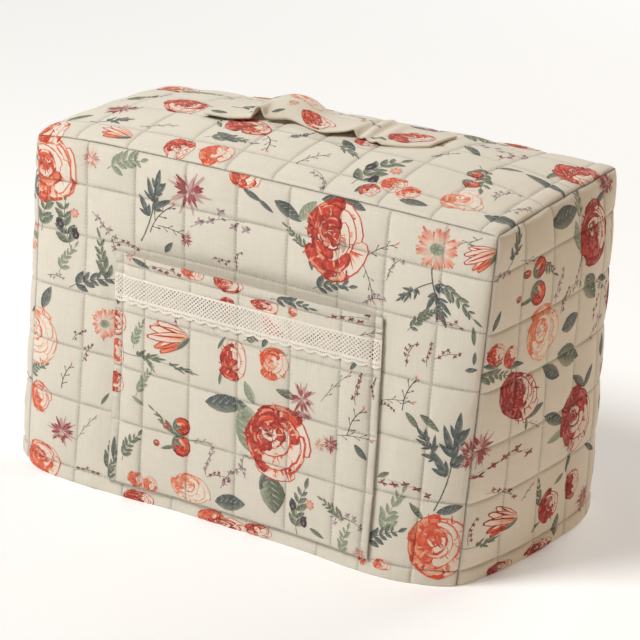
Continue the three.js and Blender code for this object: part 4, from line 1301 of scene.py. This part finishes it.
def next_repeat(move):
    width, height = QUILTING["front"]["width"], QUILTING["front"]["height"]
    return [(kind, tone, (across + move["across"]) % width, (up + move["up"]) % height, *rest)
            for kind, tone, across, up, *rest in roll]


CHARTS["quilt_back"] = next_repeat(BACK_MOVE)
CHARTS["quilt_end_left"] = [row for row in next_repeat(END_MOVE) if row[2] < END_REACH]
print("motifs placed", {name: len(rows) for name, rows in CHARTS.items()})

# %% [markdown]
# ## Laying the ink on the cloth
# A motif that is larger than a quilted cell must follow the cloth over its stitch lines.
# So each petal is cut along the lines of the cloth's own grid, as with scissors along
# ruled paper, and every cut piece is laid on the one patch of cloth below it. Later inks
# lie a hair above earlier ones.

# %% Cutting a petal along the grid and wrapping it
INK_SEAT = 0.10
INK_STEP = 0.018
# Leaves and twigs lie under the flowers, and are printed this much larger than charted.
GREENERY = {"leaf": 1.12, "spray": 1.3, "slate": 1.12, "twig": 1.1, "sprig": 1.35, "plums": 1.25}
FLOWER_LEVEL = 4
SEED_STEP = 101
# Nobody sees the front behind its pocket, so neither ink nor thread is laid there.
POCKET_HIDES = {
    "print": {"left": 88, "right": 338, "low": 12.5, "high": 205},
    "stitches": {"left": 86, "right": 340, "low": 12, "high": 210},
}


def hidden(kind, across, up):
    hides = POCKET_HIDES[kind]
    return hides["left"] < across < hides["right"] and hides["low"] < up < hides["high"]


def cut_between(shape, axis, low, high):
    for side, limit in ((1, low), (-1, high)):
        kept = []
        for a, b in zip(shape, shape[1:] + shape[:1]):
            a_in, b_in = side * (a[axis] - limit) >= 0, side * (b[axis] - limit) >= 0
            if a_in:
                kept.append(a)
            if a_in != b_in:
                f = (limit - a[axis]) / (b[axis] - a[axis])
                kept.append(tuple(p + (q - p) * f for p, q in zip(a, b)))
        shape = kept
        if len(shape) < 3:
            return []
    return shape


def crossed(lines, reach):
    first, last = np.searchsorted(lines, [min(reach), max(reach)])
    return range(max(0, first - 1), min(len(lines) - 1, last))


def cut_along_grid(shape, across, up):
    pieces = []
    for i in crossed(across, [p[0] for p in shape]):
        strip = cut_between(shape, 0, across[i], across[i + 1])
        if not strip:
            continue
        for j in crossed(up, [p[1] for p in strip]):
            piece = cut_between(strip, 1, up[j], up[j + 1])
            if piece:
                pieces.append(piece)
    return pieces


def place_motif(row, seed):
    entry = dict(zip(CHART, row))
    turn = math.radians(entry["turn"])
    c, s = math.cos(turn), math.sin(turn)
    base = 0 if entry["kind"] in GREENERY else FLOWER_LEVEL
    half = entry["half"] * GREENERY.get(entry["kind"], 1)
    for level, shape in MOTIFS[entry["kind"]](half, entry["tone"], random.Random(seed)):
        placed = []
        for x, y, *tone in shape:
            y *= entry["slim"]
            placed.append((entry["across"] + x * c - y * s, entry["up"] + x * s + y * c, *tone))
        yield base + level, placed


def cut_chart(name):
    """The pieces that a chart's motifs are cut into, all turned the same way round."""
    grid = CLOTH_GRIDS[name]
    for seed, row in enumerate(CHARTS[name]):
        for level, shape in place_motif(row, seed + SEED_STEP * len(name)):
            for piece in cut_along_grid(shape, grid["across"], grid["up"]):
                if name == "quilt_front" and hidden("print", *np.mean([p[:2] for p in piece], axis=0)):
                    continue
                turns = sum(a[0] * b[1] - b[0] * a[1] for a, b in zip(piece, piece[1:] + piece[:1]))
                yield level, piece[::-1] if turns < 0 else piece


def unit(vectors):
    return vectors / np.linalg.norm(vectors, axis=1, keepdims=True)


def on_cloth(grid, i, j, places):
    """Where flat places in the grid's patches i, j lie on the cloth, and what is square to it there."""
    across, up = grid["across"], grid["up"]
    f = ((places[:, 0] - across[i]) / (across[i + 1] - across[i]))[:, None]
    g = ((places[:, 1] - up[j]) / (up[j + 1] - up[j]))[:, None]

    def between(values):
        low = values[j, i] * (1 - f) + values[j, i + 1] * f
        return low * (1 - g) + (values[j + 1, i] * (1 - f) + values[j + 1, i + 1] * f) * g

    return between(grid["spots"]), unit(between(grid["normals"]))


def uv_layer(mesh, flat):
    layer = mesh.uv_layers.new(name="cloth")
    layer.data.foreach_set("uv", (flat * MM).astype(np.float32).ravel())


def lay_print(name):
    grid = CLOTH_GRIDS[name]
    levels, pieces = zip(*cut_chart(name))
    counts = [len(piece) for piece in pieces]
    starts = np.cumsum([0, *counts])
    corners = np.array([corner for piece in pieces for corner in piece])
    points, tones = corners[:, :2], corners[:, 2:]
    i, j = np.zeros(len(points), int), np.zeros(len(points), int)
    for begin, stop in zip(starts[:-1], starts[1:]):
        i[begin:stop] = np.searchsorted(grid["across"], points[begin:stop, 0].mean()) - 1
        j[begin:stop] = np.searchsorted(grid["up"], points[begin:stop, 1].mean()) - 1
    spots, normals = on_cloth(grid, i, j, points)
    spots = (spots + normals * (INK_SEAT + INK_STEP * np.repeat(levels, counts))[:, None]) * MM
    mesh = bpy.data.meshes.new(f"print_{name}")
    faces = [list(range(begin, stop)) for begin, stop in zip(starts[:-1], starts[1:])]
    mesh.from_pydata(spots.tolist(), [], faces)
    ink = mesh.attributes.new("ink", "FLOAT_COLOR", "POINT")
    ink.data.foreach_set("color", np.column_stack([tones, np.ones(len(points))]).astype(np.float32).ravel())
    for key in ("near_row", "near_column"):
        near = mesh.attributes.new(key, "FLOAT", "POINT")
        if grid["masks"]:
            values = grid["masks"][key](points[:, 0], points[:, 1])
            near.data.foreach_set("value", np.asarray(values, np.float32))
    uv_layer(mesh, points[np.concatenate(faces)])
    mesh.normals_split_custom_set_from_vertices(normals.tolist())
    mesh.materials.append(printing_ink)
    piece = add_piece(f"print_{name}", mesh)
    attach(piece, "root")
    print(piece.name, len(faces), "cut pieces", sum(count - 2 for count in counts), "triangles")
    return piece


printing_ink = cotton("printing_ink", GROUND, ink="ink", relief_mm=0.06, pucker_mm=1.1)
PRINTS = {name: lay_print(name) for name in
          [f"quilt_{name}" for name in PANELS] + ["pocket_patch", "carrying_band"]}

# %% [markdown]
# ## Quilting stitches
# A machine sews the wadding in with even stitches, about eight to the inch. A dashed line
# in the print would stay flat in raking light. So each stitch is a short rounded thread
# sunk in its groove, and all the stitches of a panel are copies in one mesh.

# %% Sewing along the lines
STITCH = {"pitch": 3.2, "long": 2.3, "wide": 0.55, "sunk": 0.05, "margin": 2}
thread = cotton("sewing_thread", "E9DFCB", pitch=0.0004, relief_mm=0.03, roughness=0.7)


def one_stitch():
    bm = bmesh.new()
    bmesh.ops.create_icosphere(bm, subdivisions=1, radius=0.5)
    bmesh.ops.scale(bm, vec=(STITCH["long"], STITCH["wide"], STITCH["wide"]), verts=bm.verts)
    spots = np.array([v.co[:] for v in bm.verts])
    faces = np.array([[v.index for v in face.verts] for face in bm.faces])
    bm.free()
    return spots, faces


def sew(name, columns, rows):
    grid = CLOTH_GRIDS[name]
    across, up, spots = grid["across"], grid["up"], grid["spots"]
    stitches = []
    for lines, axis, reach in ((columns, 0, up), (rows, 1, across)):
        for line in lines:
            for at in np.arange(reach[0] + STITCH["margin"], reach[-1] - STITCH["margin"], STITCH["pitch"]):
                spot = (line, at) if axis == 0 else (at, line)
                if not (name == "quilt_front" and hidden("stitches", *spot)):
                    stitches.append((*spot, axis))
    places, axes = np.array(stitches)[:, :2], np.array(stitches)[:, 2].astype(int)
    i = np.clip(np.searchsorted(across, places[:, 0]) - 1, 0, len(across) - 2)
    j = np.clip(np.searchsorted(up, places[:, 1]) - 1, 0, len(up) - 2)
    seats, normal = on_cloth(grid, i, j, places)
    run = np.where(axes[:, None] == 1, spots[j, i + 1] - spots[j, i], spots[j + 1, i] - spots[j, i])
    aside = unit(np.cross(normal, unit(run)))
    turns = np.stack([np.cross(aside, normal), aside, normal], 1)
    thread_spots, thread_faces = one_stitch()
    seats = seats + normal * STITCH["sunk"]
    every = seats[:, None, :] + np.einsum("vk,nkd->nvd", thread_spots, turns)
    faces = thread_faces[None] + (np.arange(len(places)) * len(thread_spots))[:, None, None]
    mesh = bpy.data.meshes.new(f"stitches_{name}")
    mesh.from_pydata((every.reshape(-1, 3) * MM).tolist(), [], faces.reshape(-1, 3).tolist())
    mesh.polygons.foreach_set("use_smooth", np.ones(len(mesh.polygons), bool))
    uv_layer(mesh, np.tile(thread_spots[thread_faces.ravel(), :2], (len(places), 1)))
    mesh.materials.append(thread)
    piece = add_piece(f"stitches_{name}", mesh)
    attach(piece, "root")
    print(piece.name, len(places), "stitches")
    return piece


THREADS = {f"quilt_{name}": sew(f"quilt_{name}", quilting["columns"], quilting["rows"])
           for name, quilting in QUILTING.items()}
THREADS["pocket_patch"] = sew("pocket_patch", pocket_stitches[1:-1], pocket_rows[1:-1])

# %% [markdown]

# %% [markdown]
# ## Floor, light and camera
# The cover was photographed on pure white. A round lamp from the upper left and front
# lights it, a weak warm one keeps the shaded right end from going grey, and one washes
# the floor behind. The pale floor glows a little, so that it comes out nearly white and
# a soft shadow still tells where the hem stands. The camera's place, turn and shift were
# found by laying the seams of the cover over those of the photograph.

# %% The studio
FLOOR_PAINT = {
    "Base Color": (0.95, 0.95, 0.95, 1), "Roughness": 0.9,
    "Emission Color": (1, 1, 1, 1), "Emission Strength": 0.13,
}


def area_light(name, place, aim, size, power, colour):
    data = bpy.data.lights.new(name, "AREA")
    data.shape, data.size, data.energy, data.color = "DISK", size, power, colour
    lamp = add_piece(name, data)
    lamp.location = place
    lamp.rotation_euler = (Vector(aim) - Vector(place)).to_track_quat("-Z", "Y").to_euler()
    return lamp


floor_bm = bmesh.new()
bmesh.ops.create_grid(floor_bm, x_segments=1, y_segments=1, size=12)
floor_mesh = bpy.data.meshes.new("floor")
floor_bm.to_mesh(floor_mesh)
floor_bm.free()
floor = add_piece("floor", floor_mesh)
floor_paint = bpy.data.materials.new("floor_paint")
floor_paint.use_nodes = True
for label, value in FLOOR_PAINT.items():
    floor_paint.node_tree.nodes["Principled BSDF"].inputs[label].default_value = value
floor_mesh.materials.append(floor_paint)

WHITE, WARM = (1, 1, 1), (1.0, 0.44, 0.05)
COVER_MIDDLE = (0, 0, 0.15)
area_light("key", place=(-0.95, -1.35, 2.15), aim=COVER_MIDDLE, size=0.9, power=54, colour=WHITE)
area_light("right_fill", place=(2.6, 0.4, 0.7), aim=COVER_MIDDLE, size=1.2, power=8, colour=WARM)
area_light("floor_wash", place=(0.3, 4.6, 3.2), aim=(0.3, 4.0, 0), size=3.0, power=170, colour=WHITE)

world = bpy.context.scene.world or bpy.data.worlds.new("studio")
bpy.context.scene.world = world
world.use_nodes = True
world.node_tree.nodes["Background"].inputs["Color"].default_value = (1.0, 0.9, 0.7, 1)
world.node_tree.nodes["Background"].inputs["Strength"].default_value = 0.15
bpy.context.scene.view_settings.view_transform = "Standard"

# %% The camera, where the photograph was taken from
CAMERA = {"azimuth": 27.62, "elevation": 21.01, "roll": 4.04, "distance": 2.6, "focal_px": 3077,
          "centre_px": (-4.6, -4.2), "target": (0.0032, 0.0028, 0.1525), "frame_px": 640}
a, e, r = (math.radians(CAMERA[key]) for key in ("azimuth", "elevation", "roll"))
back = Vector((math.sin(a) * math.cos(e), -math.cos(a) * math.cos(e), math.sin(e)))
right = Vector((math.cos(a), math.sin(a), 0))
over = back.cross(right)
camera_right = right * math.cos(r) + over * math.sin(r)
camera_up = over * math.cos(r) - right * math.sin(r)
camera_data = bpy.data.cameras.new("camera")
camera_data.sensor_width = 36
camera_data.lens = CAMERA["focal_px"] / CAMERA["frame_px"] * camera_data.sensor_width
camera_data.shift_x = -CAMERA["centre_px"][0] / CAMERA["frame_px"]
camera_data.shift_y = CAMERA["centre_px"][1] / CAMERA["frame_px"]
camera = add_piece("camera", camera_data)
turn = Matrix((camera_right, camera_up, back)).transposed().to_4x4()
place = Vector(CAMERA["target"]) + back * CAMERA["distance"]
camera.matrix_world = Matrix.Translation(place) @ turn
bpy.context.scene.camera = camera
shift = round(camera_data.shift_x, 4), round(camera_data.shift_y, 4)
print("lens", round(camera_data.lens, 1), "shift", *shift)
